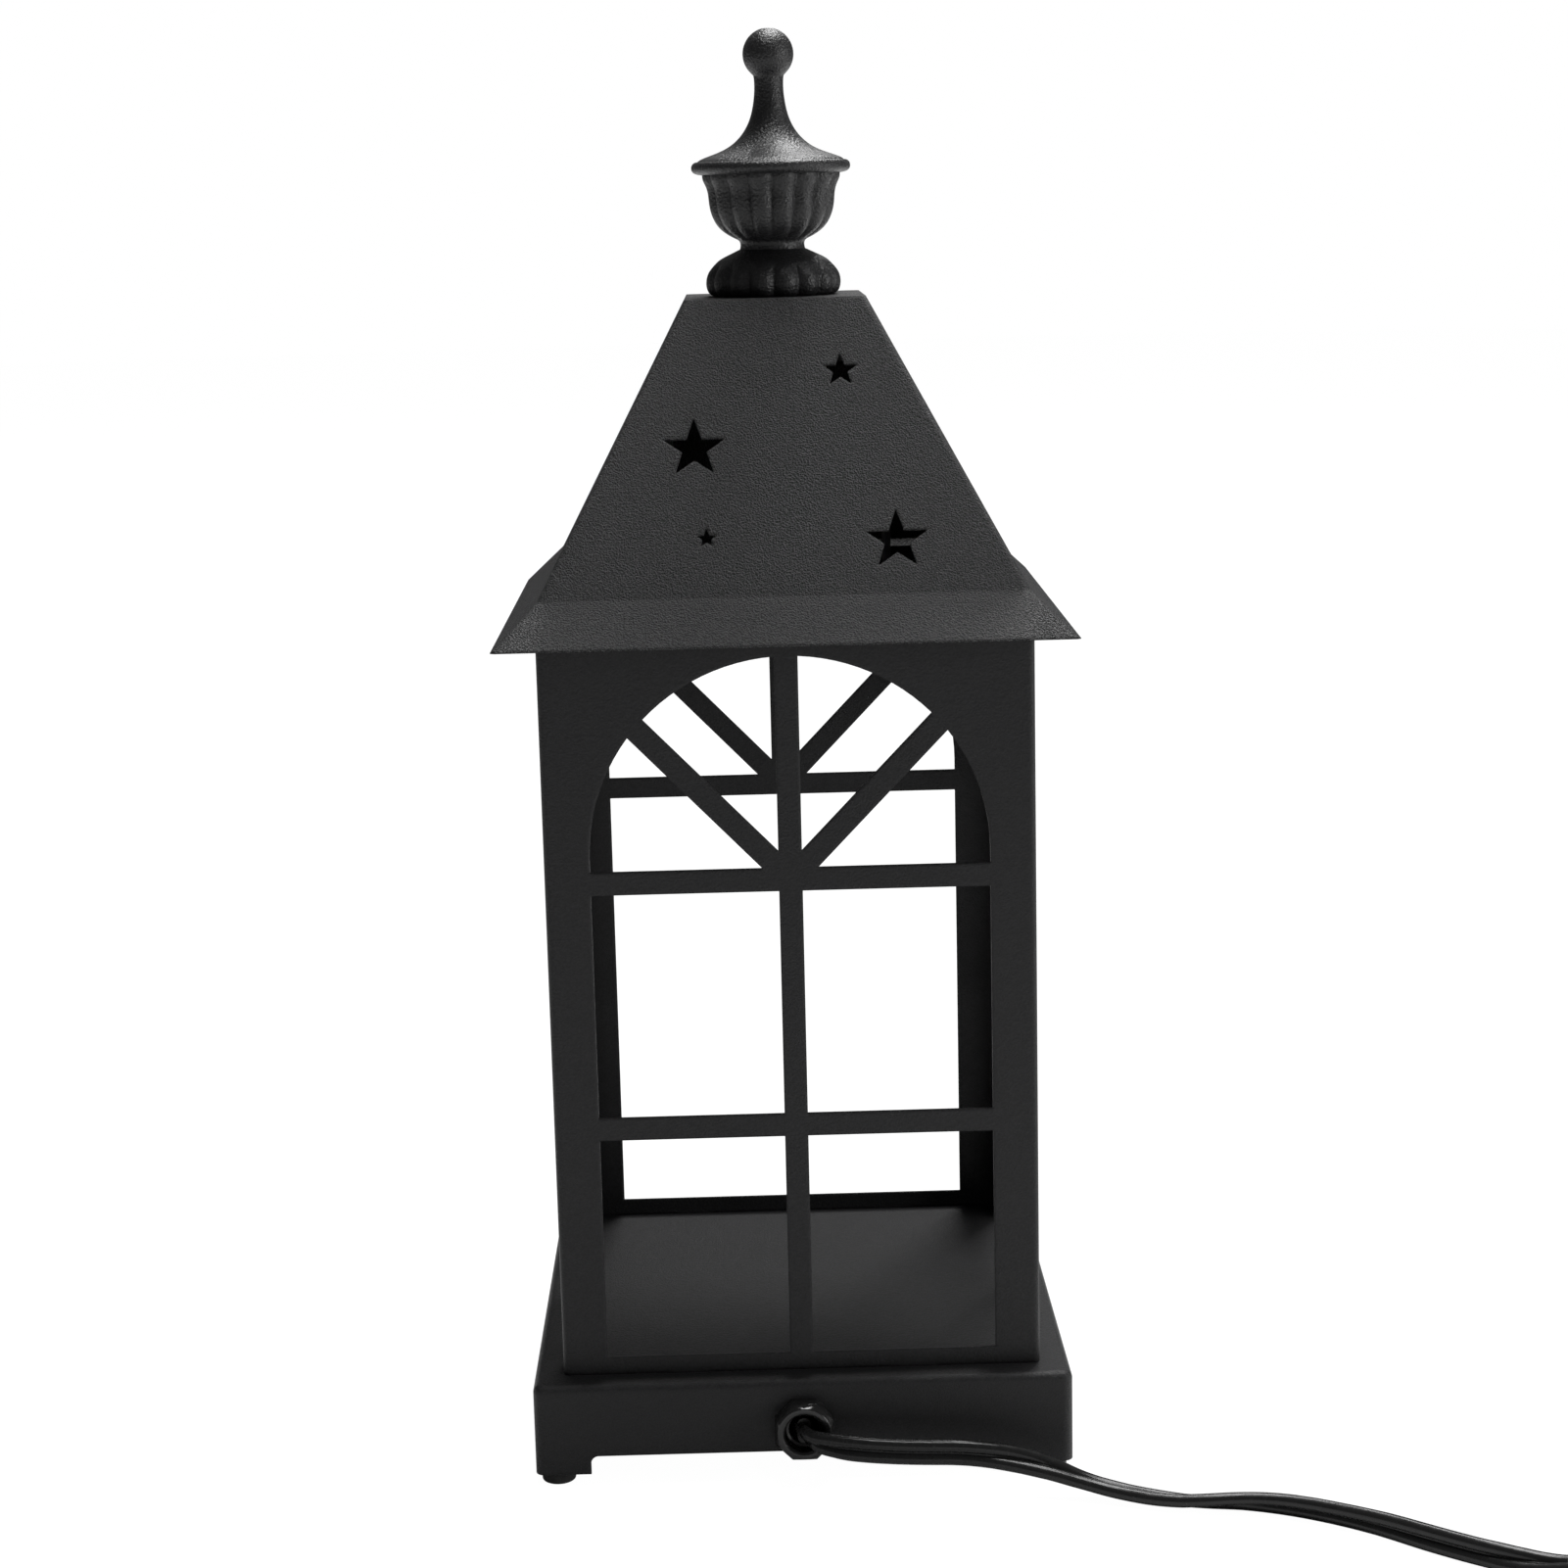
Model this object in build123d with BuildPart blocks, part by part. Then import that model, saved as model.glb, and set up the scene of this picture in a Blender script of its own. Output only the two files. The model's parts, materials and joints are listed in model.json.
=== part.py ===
from build123d import *
from math import cos, hypot, pi, radians, sin, sqrt, tan
import os

# Candle warmer lantern: a square sheet-steel lantern whose roof hides a downward
# halogen spot lamp, with a line cord and an inline thumbwheel dimmer.
# Millimetres, +Z up, origin on the floor at the middle of the base. The rear,
# where the cord leaves, faces -Y, and the open front faces +Y.

# ---------------------------------------------------------------- sheet and fits
SHEET = 0.8  # steel sheet of the walls, ceiling and roof
BASE_SHEET = 1.0  # heavier sheet of the base
DUCT_SHEET = 0.6  # light strip of the lead duct
FIT = 0.15  # gap round a folded tab or an edge in its slot
HOLE_GAP = 0.05  # radial gap of a screw, stud or rivet in its hole
RUN_GAP = 0.05  # radial gap of a turning shaft
REST_GAP = 0.3  # gap between a rounded or soft piece and its seat

# ---------------------------------------------------------------- base
BASE_W = 140.0
BASE_TOP = 27.5
BASE_CORNER_R = 2.5
BASE_BEND_R = 2.0
SKIRT_Z = 8.2  # lower edge of the skirt between the feet
SKIRT_FOOT_Z = 3.3  # lower edge of the skirt's corner feet
SKIRT_FOOT_W = 14.5
SKIRT_FILLET = 2.0
COVER_T = 0.8
COVER_Z = 8.6  # underside of the bottom cover
COVER_GAP = 0.5  # between the cover and the skirt
STANDOFF_R = 3.2
FOOT_R = 4.4
FOOT_STEM_R = 2.0
FOOT_HEAD_R = 2.8
FOOT_HEAD_H = 1.8
FOOT_EDGE_R = 0.55
STANDOFF_IN = 14.25  # from the walls' outer faces in to the standoffs' axes

# ---------------------------------------------------------------- body walls
BODY_W = 124.5
WALL_TOP = 228.0
WALL_BEND_R = 1.5
RETURN_D = 10.0  # depth of the front and rear panels' side returns
TAB_W = 10.0
TAB_AT = 30.0
TAB_L = 5.0
WINDOW_HALF = 50.6
SILL_Z = 32.2
ARCH_Z = 165.2  # height of the arch's centre
LOWER_BAR_Z = 94.1
TRANSOM_Z = 158.75
BAR_W = 6.0
DIAGONAL_ANGLE = 46.0

# ---------------------------------------------------------------- ceiling
CEILING_Z = 216.6  # underside of the ceiling plate
CEILING_FLANGE = 9.0
CEILING_NOTCH = 9.0
BULB_HOLE_R = 29.0
VENT_R = 4.0
VENT_PCD_R = 43.0
VENT_COUNT = 8
RIVET_R = 1.6
RIVET_HEAD_R = 2.9
RIVET_HEAD_H = 1.1
RIVET_TAIL_R = 2.3
RIVET_AT = 40.0
RIVET_UP = 5.2  # the rivets' height above the ceiling plate's underside

# ---------------------------------------------------------------- roof
EAVE_OUT = 10.5  # how far the eaves stand out from the walls
EAVE_Z = 219.7
BEND_IN = 0.8  # how far the roof's bend stands in from the walls
ROOF_BEND_Z = 230.7
ROOF_TOP_W = 46.7
ROOF_TOP = 302.5
HIP_R = 1.6
# Stars in each slope: (across, up the slope from the bend, tip radius).
STARS = [(-21.5, 40.2, 8.4), (28.6, 14.2, 8.4), (16.0, 60.8, 4.9), (-18.9, 15.9, 3.0)]
STAR_WAIST = 0.39  # inner radius as a share of the tip radius

# ---------------------------------------------------------------- finial
STUD_R = 3.0
STUD_INTO_CAP = 8.0
FLUTES = 16
FLUTE_W = 0.7
FLUTE_DEPTH = 0.9
FINIAL_FOOT_H = 12.0
# Outlines as (radius, height above the piece's own underside): two points are
# a line, three an arc and more a smooth curve.
FOOT_CUSHION = [(17.2, 0.0), (17.9, 3.0), (16.7, 6.9)]
FOOT_SHOULDER = [(16.7, 6.9), (14.1, 9.3), (8.6, FINIAL_FOOT_H)]
URN_NECK_R = 8.4
URN_NECK_H = 2.2
URN_H = 19.3
URN_BOWL = [(9.4, URN_NECK_H), (14.4, 6.2), (16.8, 12.6)]
URN_LIP = [(16.8, 12.6), (17.3, 16.0), (18.3, 18.0)]
CAP_RIM = [(18.8, 0.0), (20.85, 1.9), (19.1, 3.8)]
CAP_SPIRE = [
    (19.1, 3.8),
    (14.9, 5.3),
    (11.2, 6.9),
    (7.6, 9.9),
    (5.6, 12.8),
    (4.2, 17.3),
    (3.7, 22.0),
    (3.9, 26.0),
]
BALL_R = 6.7
BALL_Z = 30.5  # ball centre above the cap's underside

# ---------------------------------------------------------------- lamp
BULB_FACE_Z = 215.0
BULB_R = 25.0
BULB_RIM_H = 3.0
BULB_WAIST_R = 20.5
BULB_WAIST_Z = BULB_FACE_Z + 15.0
BULB_NECK_L = 4.5
BULB_GLASS_T = 1.2
BULB_BASE_R = 11.8
BULB_BASE_H = 18.0
BULB_EDGE_R = 1.0
BULB_L = 47.0  # face to the end of the ceramic base
CAPSULE_R = 4.5
CAPSULE_H = 16.0
CAPSULE_SEAT = 4.5  # how deep the capsule stands in the ceramic
PIN_SPACING = 10.0
PIN_NECK_R = 1.5
PIN_HEAD_R = 2.5
PIN_HEAD_H = 3.0
TWIST = 25.0  # degrees from locked to free
HOLDER_R = 13.5
HOLDER_FLOOR = 3.0
HOLDER_CHAMBER_H = 6.2
HOLDER_H = 15.5
HOLDER_CAP_H = 7.5
HOLDER_CAP_WALL = 1.5
HOLDER_SCREW_AT = 9.5
PIN_GAP = 0.35  # all round a pin in its track
CONTACT_R = 1.2
BRACKET_T = 1.5
BRACKET_W = 16.0
BRACKET_INSIDE = 27.8  # from the centre to a leg's inner face
BRACKET_FOOT_L = 15.0

# ---------------------------------------------------------------- fasteners
M3_R = 1.5
M3_HEAD_R = 2.8
M3_HEAD_H = 1.8
M3_HEAD_EDGE_R = 0.6
M3_NUT_AF = 5.5
M3_NUT_H = 2.4
M6_NUT_AF = 10.0
M6_NUT_H = 5.0
WASHER_R = 8.0
WASHER_T = 1.0
COVER_SCREW_L = 10.0
BRACKET_SCREW_L = 7.0
HOLDER_SCREW_L = 16.0

# ---------------------------------------------------------------- lead and duct
DUCT_W = 8.2  # clear width inside the duct
LEAD_R = 2.25
GROMMET_R = 3.7
GROMMET_NECK_R = 3.0
GROMMET_LIP = 1.2
GROMMET_GAP = 0.2

# ---------------------------------------------------------------- cord and gland
CORD_W = 6.8  # width of the flat twin cord
CORD_T = 3.4
GLAND_Z = 15.0
GLAND_SIDES = 8
GLAND_AF = 15.2
GLAND_HEAD_L = 5.5
GLAND_CHAMFER = 1.0
GLAND_MOUTH_R = 4.8
GLAND_MOUTH_L = 3.5
GLAND_THREAD_R = 5.0
GLAND_THREAD_L = 9.0
LOCKNUT_AF = 14.0
LOCKNUT_T = 4.0
TAIL_INSIDE = 20.0  # how far the cord reaches into the base
CONNECTOR_R = 3.0
CONNECTOR_L = 13.0

# ---------------------------------------------------------------- inline dimmer
DIMMER_X = 228.0
DIMMER_BEHIND = 73.0  # from the base's rear face to the dimmer's centre line
DIMMER_L = 64.0
DIMMER_W = 26.0
DIMMER_H = 16.0
DIMMER_END_R = 10.0
DIMMER_WALL = 1.8
DIMMER_EDGE_R = 1.5
ENTRY_DEPTH = 10.0  # how far each cord end reaches into the dimmer
WHEEL_R = 7.2
WHEEL_T = 4.4
WHEEL_GRIPS = 24
WHEEL_GRIP_R = 0.4
WHEEL_PROUD = 2.0
WHEEL_SIDE_GAP = 0.4
AXLE_R = 1.5
POST_T = 2.4
POST_W = 6.0
DIMMER_BOSS_R = 2.7
DIMMER_BOSS_X = 20.0
DIMMER_BOSS_Y = 8.0
DIMMER_SCREW_R = 1.2
DIMMER_SCREW_HEAD_R = 2.1
DIMMER_SCREW_HEAD_H = 1.2
DIMMER_SCREW_SEAT = 1.5  # the screw heads' seats above the underside
DIMMER_SCREW_END = 12.0
BOARD_T = 1.4
BOARD_L = 14.0
BOARD_W = 17.0
BOARD_FROM_WHEEL = 1.5
PART_H = 8.0  # height of the tall parts on the board
TRIAC_L = 7.0
TRIAC_T = 4.4
TRIAC_Y = -5.0
CAPACITOR_R = 2.5
CAPACITOR_Y = 5.0

# ---------------------------------------------------------------- coil and plug
COIL_X = 250.0
COIL_BEHIND = 10.0  # from the base's rear face to the coil's centre
COIL_R = 37.5  # middle of the turns
COLUMN_PITCH = 4.2
LAYER_PITCH = 6.9
COIL_COLUMNS = 3
COIL_LAYERS = 2
COIL_END = -15.0  # degrees round the coil where its last turn leaves it
PLUG_AHEAD = 44.0  # from there to the plug's neck
PLUG_L = 41.0
PLUG_W = 24.0
PLUG_T = 13.0
PLUG_EDGE_R = 4.0
PLUG_NECK_L = 20.0
PLUG_NECK_WALL = 1.8
BLADE_L = 16.0
BLADE_T = 1.5
BLADE_W = 6.4
BLADE_SPACING = 12.7

# Lamp-side route from the gland's mouth to the dimmer, centre of the cord.
ENTRY_Z = DIMMER_H / 2
REAR_Y = -BASE_W / 2
DIMMER_Y = REAR_Y - DIMMER_BEHIND
COIL_Y = REAR_Y - COIL_BEHIND
LAMP_SIDE = [
    (0.0, REAR_Y - 3.0, GLAND_Z),
    (0.0, REAR_Y - 10.0, GLAND_Z),
    (5.8, REAR_Y - 13.2, 13.8),
    (15.0, REAR_Y - 13.4, 12.4),
    (29.0, REAR_Y - 12.4, 11.0),
    (44.0, REAR_Y - 11.8, 9.3),
    (59.0, REAR_Y - 12.6, 6.6),
    (75.0, REAR_Y - 16.0, 4.0),
    (93.0, REAR_Y - 24.6, 3.4),
    (116.0, REAR_Y - 28.6, 3.4),
    (137.0, REAR_Y - 39.6, 3.4),
    (157.0, REAR_Y - 56.6, 3.4),
    (175.5, REAR_Y - 68.6, 3.6),
    (191.5, DIMMER_Y, ENTRY_Z),
    (DIMMER_X - DIMMER_L / 2 + ENTRY_DEPTH, DIMMER_Y, ENTRY_Z),
]
# Plug-side route from the dimmer into the coil's lowest outer turn.
PLUG_SIDE = [
    (DIMMER_X + DIMMER_L / 2 - ENTRY_DEPTH, DIMMER_Y, ENTRY_Z),
    (265.5, DIMMER_Y, ENTRY_Z),
    (283.0, REAR_Y - 69.0, 3.8),
    (294.5, REAR_Y - 54.0, 3.4),
    (298.0, REAR_Y - 35.0, 3.4),
    (295.0, REAR_Y - 18.0, 3.4),
    (291.0, REAR_Y - 4.0, 3.4),
]


def past_coil(ahead, out, height):
    """A point past where the last turn leaves the coil, ahead and outwards of it."""
    a = radians(COIL_END)
    r = COIL_R + COLUMN_PITCH * (COIL_COLUMNS - 1) / 2 + out
    return (COIL_X + r * cos(a) - ahead * sin(a), COIL_Y + r * sin(a) + ahead * cos(a), height)


# The cord's end, from the coil's top layer down to the plug on the floor.
PLUG_TAIL = [
    past_coil(-6.0, 0.0, 10.3),
    past_coil(8.0, 1.0, 10.8),
    past_coil(22.0, 2.0, 10.0),
    past_coil(36.0, 0.8, 7.2),
    past_coil(PLUG_AHEAD + 1.0, 0.0, PLUG_T / 2),
]
# Heat-proof lead from the crimp connectors up the duct to the lamp holder.
DUCT_X = BODY_W / 2 - 2 * SHEET - DUCT_W / 2
DUCT_Y = -(BODY_W / 2 - SHEET - DUCT_W / 2)
TAIL_END_Y = REAR_Y + TAIL_INSIDE
LEAD_ROUTE = [
    (2 * CONNECTOR_R + 1.0, TAIL_END_Y + 4.0, GLAND_Z),
    (24.0, TAIL_END_Y, GLAND_Z),
    (42.0, DUCT_Y, GLAND_Z),
    (DUCT_X, DUCT_Y, GLAND_Z + 2.0),
    (DUCT_X, DUCT_Y, 232.0),
    (26.0, -41.0, 258.0),
    (3.0, -28.0, 277.0),
    (0.0, -18.5, 281.5),
    (0.0, -8.5, 281.5),
]
LEAD_BENDS = [9.0, 9.0, 9.0, 8.0, 12.0, 10.0, 8.0]

# ---------------------------------------------------------------- worked-out sizes
BODY_HALF = BODY_W / 2
BASE_HALF = BASE_W / 2
STANDOFF_AT = BODY_HALF - STANDOFF_IN
EAVE_W = BODY_W + 2 * EAVE_OUT
ROOF_BEND_W = BODY_W - 2 * BEND_IN
CEILING_TOP = CEILING_Z + SHEET
BULB_TOP = BULB_FACE_Z + BULB_L
HOLDER_Z = BULB_TOP + REST_GAP
PIN_NECK_H = HOLDER_FLOOR + 2 * REST_GAP
LEG_OUT = BRACKET_INSIDE + BRACKET_T
BRACKET_HOLE_AT = LEG_OUT + BRACKET_FOOT_L - BRACKET_W / 2
BAR_Z = HOLDER_Z + HOLDER_H + HOLDER_CAP_H  # underside of the bracket's crossbar
ROOF_UNDER = ROOF_TOP - SHEET
URN_Z = ROOF_TOP + FINIAL_FOOT_H
CAP_Z = URN_Z + URN_H
COIL_HALF = (COIL_COLUMNS - 1) / 2 * COLUMN_PITCH + CORD_T / 2
COIL_H = CORD_W + (COIL_LAYERS - 1) * LAYER_PITCH
FLARE_RUN = (EAVE_W - ROOF_BEND_W) / 2 / (ROOF_BEND_Z - EAVE_Z)
SLOPE_RUN = (ROOF_BEND_W - ROOF_TOP_W) / 2 / (ROOF_TOP - ROOF_BEND_Z)


os.makedirs("parts", exist_ok=True)


def save(piece, name):
    """Label a finished piece and write it under its node's name."""
    piece.part.label = name
    export_step(piece.part, f"parts/{name}.step")


def turned(turn, height=0.0):
    """A level plane at that height, turned about the lantern's axis."""
    a = radians(turn)
    return Plane(origin=(0, 0, height), x_dir=(cos(a), sin(a), 0), z_dir=(0, 0, 1))


def wall_plane(turn, out, height=0.0):
    """A plane on a wall: x across, y up, facing outwards. Turn 0 is the rear."""
    a = radians(turn)
    return Plane(
        origin=(out * sin(a), -out * cos(a), height),
        x_dir=(cos(a), sin(a), 0),
        z_dir=(sin(a), -cos(a), 0),
    )


def corner_radii(points):
    """The arc at each corner of a free cord: 0.45 of its shorter run."""
    spots = [Vector(*p) for p in points]
    radii = []
    for before, here, after in zip(spots, spots[1:], spots[2:]):
        run = min((here - before).length, (after - here).length)
        turn = (here - before).get_angle(after - here)
        radii.append(0.45 * run / tan(radians(turn / 2)))
    return radii


def tube(points, radii, radius):
    """A round tube along straight runs joined by tangent arcs."""
    with BuildPart() as piece:
        with BuildLine() as route:
            FilletPolyline(*points, radius=radii)
        with BuildSketch(Plane(origin=route.line @ 0, z_dir=route.line % 0)):
            Circle(radius)
        sweep()
    length = route.wire().length
    share = piece.part.volume / (pi * radius**2 * length)
    print(f"tube {length:.1f} long, volume share {share:.4f}, radii {[round(r, 1) for r in radii]}")
    return piece


def discs(plane, radius, *spots):
    """Equal discs at spots on a plane."""
    with BuildSketch(plane) as sketch:
        with Locations(*spots):
            Circle(radius)
    return sketch.sketch


def four(at):
    """Four spots on a square about the middle."""
    return [(x, y) for x in (-at, at) for y in (-at, at)]


# ================================================================ base
with BuildPart() as base_plinth:
    with BuildSketch(Plane.XY.offset(SKIRT_FOOT_Z)):
        RectangleRounded(BASE_W, BASE_W, BASE_CORNER_R)
    extrude(amount=BASE_TOP - SKIRT_FOOT_Z)
    fillet(base_plinth.faces().sort_by(Axis.Z)[-1].edges(), BASE_BEND_R)
    with BuildSketch(Plane.XY.offset(SKIRT_FOOT_Z)):
        RectangleRounded(
            BASE_W - 2 * BASE_SHEET, BASE_W - 2 * BASE_SHEET, BASE_CORNER_R - BASE_SHEET
        )
    extrude(amount=BASE_TOP - BASE_SHEET - SKIRT_FOOT_Z, mode=Mode.SUBTRACT)
    for turn in (0, 90):
        with BuildSketch(wall_plane(turn, 0)) as gap_between_feet:
            with Locations((0, SKIRT_Z)):
                Rectangle(
                    BASE_W - 2 * SKIRT_FOOT_W, 2 * (SKIRT_Z - SKIRT_FOOT_Z), align=(Align.CENTER, Align.MAX)
                )
            fillet(gap_between_feet.vertices().group_by(Axis.Y)[-1], SKIRT_FILLET)
        extrude(amount=BASE_W, both=True, mode=Mode.SUBTRACT)
    with BuildSketch(wall_plane(0, BASE_HALF)):
        with Locations((0, GLAND_Z)):
            Circle(GLAND_THREAD_R + HOLE_GAP)
    extrude(amount=-2 * BASE_SHEET, mode=Mode.SUBTRACT)
    for turn, out in ((0, 0.5), (90, 1.5), (180, 0.5), (270, 1.5)):
        with BuildSketch(turned(turn, BASE_TOP)):
            with Locations((0, -BODY_HALF + out * SHEET)):
                with GridLocations(2 * TAB_AT, 0, 2, 1):
                    Rectangle(TAB_W + 2 * FIT, SHEET + 2 * FIT)
        extrude(amount=-2 * BASE_SHEET, mode=Mode.SUBTRACT)
    with BuildSketch(Plane.XY.offset(BASE_TOP)):
        with Locations((DUCT_X, DUCT_Y)):
            Circle(GROMMET_NECK_R + HOLE_GAP)
    extrude(amount=-2 * BASE_SHEET, mode=Mode.SUBTRACT)
save(base_plinth, "base_plinth")

STANDOFF_TOP = BASE_TOP - BASE_SHEET
COVER_TOP = COVER_Z + COVER_T
with BuildPart() as cover_standoffs:
    extrude(discs(Plane.XY.offset(COVER_TOP), STANDOFF_R, *four(STANDOFF_AT)), STANDOFF_TOP - COVER_TOP)
    bores = discs(Plane.XY.offset(COVER_TOP), M3_R + HOLE_GAP, *four(STANDOFF_AT))
    extrude(bores, COVER_SCREW_L, mode=Mode.SUBTRACT)
save(cover_standoffs, "cover_standoffs")

COVER_HALF = BASE_HALF - BASE_SHEET - COVER_GAP
FOOT_AT = BASE_HALF - BASE_SHEET - REST_GAP - FOOT_R
NOTCH_HALF = LOCKNUT_AF / sqrt(3) + COVER_GAP
NOTCH_DEPTH = COVER_HALF - (BASE_HALF - BASE_SHEET - LOCKNUT_T) + COVER_GAP
with BuildPart() as base_cover:
    with BuildSketch(Plane.XY.offset(COVER_Z)):
        RectangleRounded(2 * COVER_HALF, 2 * COVER_HALF, BASE_CORNER_R - BASE_SHEET)
        with Locations((0, -COVER_HALF)):
            Rectangle(2 * NOTCH_HALF, 2 * NOTCH_DEPTH, mode=Mode.SUBTRACT)
    extrude(amount=COVER_T)
    for at, radius in ((STANDOFF_AT, M3_R), (FOOT_AT, FOOT_STEM_R)):
        holes = discs(Plane.XY.offset(COVER_Z), radius + HOLE_GAP, *four(at))
        extrude(holes, COVER_T, mode=Mode.SUBTRACT)
save(base_cover, "base_cover")

with BuildPart() as cover_screws:
    extrude(discs(Plane.XY.offset(COVER_Z), M3_HEAD_R, *four(STANDOFF_AT)), -M3_HEAD_H)
    fillet(cover_screws.faces().group_by(Axis.Z)[0].edges(), M3_HEAD_EDGE_R)
    extrude(discs(Plane.XY.offset(COVER_Z), M3_R, *four(STANDOFF_AT)), COVER_SCREW_L)
save(cover_screws, "cover_screws")

for side, x in (("left", -FOOT_AT), ("right", FOOT_AT)):
    for end, y in (("rear", -FOOT_AT), ("front", FOOT_AT)):
        with BuildPart() as rubber_foot:
            extrude(discs(Plane.XY, FOOT_R, (x, y)), COVER_Z)
            fillet(rubber_foot.faces().sort_by(Axis.Z)[0].edges(), FOOT_EDGE_R)
            extrude(discs(Plane.XY.offset(COVER_Z), FOOT_STEM_R, (x, y)), COVER_T)
            extrude(discs(Plane.XY.offset(COVER_TOP), FOOT_HEAD_R, (x, y)), FOOT_HEAD_H)
            chamfer(rubber_foot.faces().sort_by(Axis.Z)[-1].edges(), FOOT_HEAD_R - FOOT_STEM_R)
        save(rubber_foot, f"rubber_foot_{end}_{side}")


# ================================================================ body walls
def window_panes(full_height):
    """The open panes of one arched window, between its glazing bars."""
    with BuildSketch() as panes:
        with Locations((0, SILL_Z)):
            Rectangle(2 * WINDOW_HALF, ARCH_Z - SILL_Z, align=(Align.CENTER, Align.MIN))
        with Locations((0, ARCH_Z)):
            Circle(WINDOW_HALF)
        with Locations((0, TRANSOM_Z)):
            Rectangle(3 * WINDOW_HALF, BAR_W, mode=Mode.SUBTRACT)
            Rectangle(BAR_W, 2 * WINDOW_HALF, align=(Align.CENTER, Align.MIN), mode=Mode.SUBTRACT)
        for angle in (DIAGONAL_ANGLE, 180 - DIAGONAL_ANGLE):
            with Locations(Location((0, TRANSOM_Z, 0), (0, 0, angle))):
                Rectangle(2 * WINDOW_HALF, BAR_W, align=(Align.MIN, Align.CENTER), mode=Mode.SUBTRACT)
        if full_height:
            with Locations((0, SILL_Z)):
                Rectangle(BAR_W, TRANSOM_Z - SILL_Z, align=(Align.CENTER, Align.MIN), mode=Mode.SUBTRACT)
            with Locations((0, LOWER_BAR_Z)):
                Rectangle(3 * WINDOW_HALF, BAR_W, mode=Mode.SUBTRACT)
    return panes.sketch


def wall_cuts(turn, out, full_height):
    """Cut a wall's panes and its rivet holes, and fold its tabs down."""
    with BuildSketch(wall_plane(turn, out)) as cuts:
        add(window_panes(full_height))
        with Locations((0, CEILING_Z + RIVET_UP)):
            with GridLocations(2 * RIVET_AT, 0, 2, 1):
                Circle(RIVET_R + HOLE_GAP)
    extrude(cuts.sketch, -2 * SHEET, mode=Mode.SUBTRACT)
    with BuildSketch(turned(turn, BASE_TOP)) as tabs:
        with Locations((0, -out + SHEET / 2)):
            with GridLocations(2 * TAB_AT, 0, 2, 1):
                Rectangle(TAB_W, SHEET)
    extrude(tabs.sketch, -TAB_L)


for name, turn, full_height in (("rear_panel", 0, True), ("front_panel", 180, False)):
    with BuildPart() as returned_panel:
        with BuildSketch(turned(turn, BASE_TOP)) as section:
            with Locations((0, -BODY_HALF)):
                Rectangle(BODY_W, RETURN_D, align=(Align.CENTER, Align.MIN))
            fillet(section.vertices().group_by(Axis.Y)[0], WALL_BEND_R)
            with Locations((0, -BODY_HALF + SHEET)):
                Rectangle(
                    BODY_W - 2 * SHEET, RETURN_D, align=(Align.CENTER, Align.MIN), mode=Mode.SUBTRACT
                )
            inner_corners = section.vertices().filter_by_position(
                Axis.Y, -BODY_HALF + SHEET / 2, -BODY_HALF + SHEET + FIT
            )
            fillet(
                [v for v in inner_corners if abs(abs(v.X) - BODY_HALF + SHEET) < FIT], WALL_BEND_R - SHEET
            )
        extrude(amount=WALL_TOP - BASE_TOP)
        wall_cuts(turn, BODY_HALF, full_height)
    save(returned_panel, name)

SIDE_OUT = BODY_HALF - SHEET
SIDE_HALF = BODY_HALF - SHEET - (WALL_BEND_R - SHEET)
for name, turn in (("right_panel", 90), ("left_panel", 270)):
    with BuildPart() as side_panel:
        with BuildSketch(turned(turn, BASE_TOP)):
            with Locations((0, -SIDE_OUT)):
                Rectangle(2 * SIDE_HALF, SHEET, align=(Align.CENTER, Align.MIN))
        extrude(amount=WALL_TOP - BASE_TOP)
        wall_cuts(turn, SIDE_OUT, True)
    save(side_panel, name)

# ================================================================ ceiling and duct
CEILING_X = SIDE_OUT - SHEET
CEILING_Y = BODY_HALF - SHEET
with BuildPart() as ceiling_plate:
    with BuildSketch(Plane.XY.offset(CEILING_Z)):
        Rectangle(2 * CEILING_X, 2 * CEILING_Y)
    extrude(amount=CEILING_FLANGE)
    with BuildSketch(Plane.XY.offset(CEILING_TOP)):
        Rectangle(2 * CEILING_X - 2 * SHEET, 2 * CEILING_Y - 2 * SHEET)
        with GridLocations(2 * CEILING_X, 2 * CEILING_Y, 2, 2):
            Rectangle(2 * CEILING_NOTCH, 2 * CEILING_NOTCH)
    extrude(amount=CEILING_FLANGE, mode=Mode.SUBTRACT)
    with BuildSketch(Plane.XY.offset(CEILING_Z)):
        Circle(BULB_HOLE_R)
        with PolarLocations(VENT_PCD_R, VENT_COUNT, start_angle=180 / VENT_COUNT):
            Circle(VENT_R)
        with Locations((DUCT_X, DUCT_Y)):
            Circle(GROMMET_NECK_R + HOLE_GAP)
        with GridLocations(2 * BRACKET_HOLE_AT, 0, 2, 1):
            Circle(M3_R + HOLE_GAP)
    extrude(amount=SHEET, mode=Mode.SUBTRACT)
    for turn, out in ((0, CEILING_Y), (90, CEILING_X), (180, CEILING_Y), (270, CEILING_X)):
        with BuildSketch(wall_plane(turn, out, CEILING_Z + RIVET_UP)):
            with GridLocations(2 * RIVET_AT, 0, 2, 1):
                Circle(RIVET_R + HOLE_GAP)
        extrude(amount=-SHEET, mode=Mode.SUBTRACT)
save(ceiling_plate, "ceiling_plate")

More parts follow.
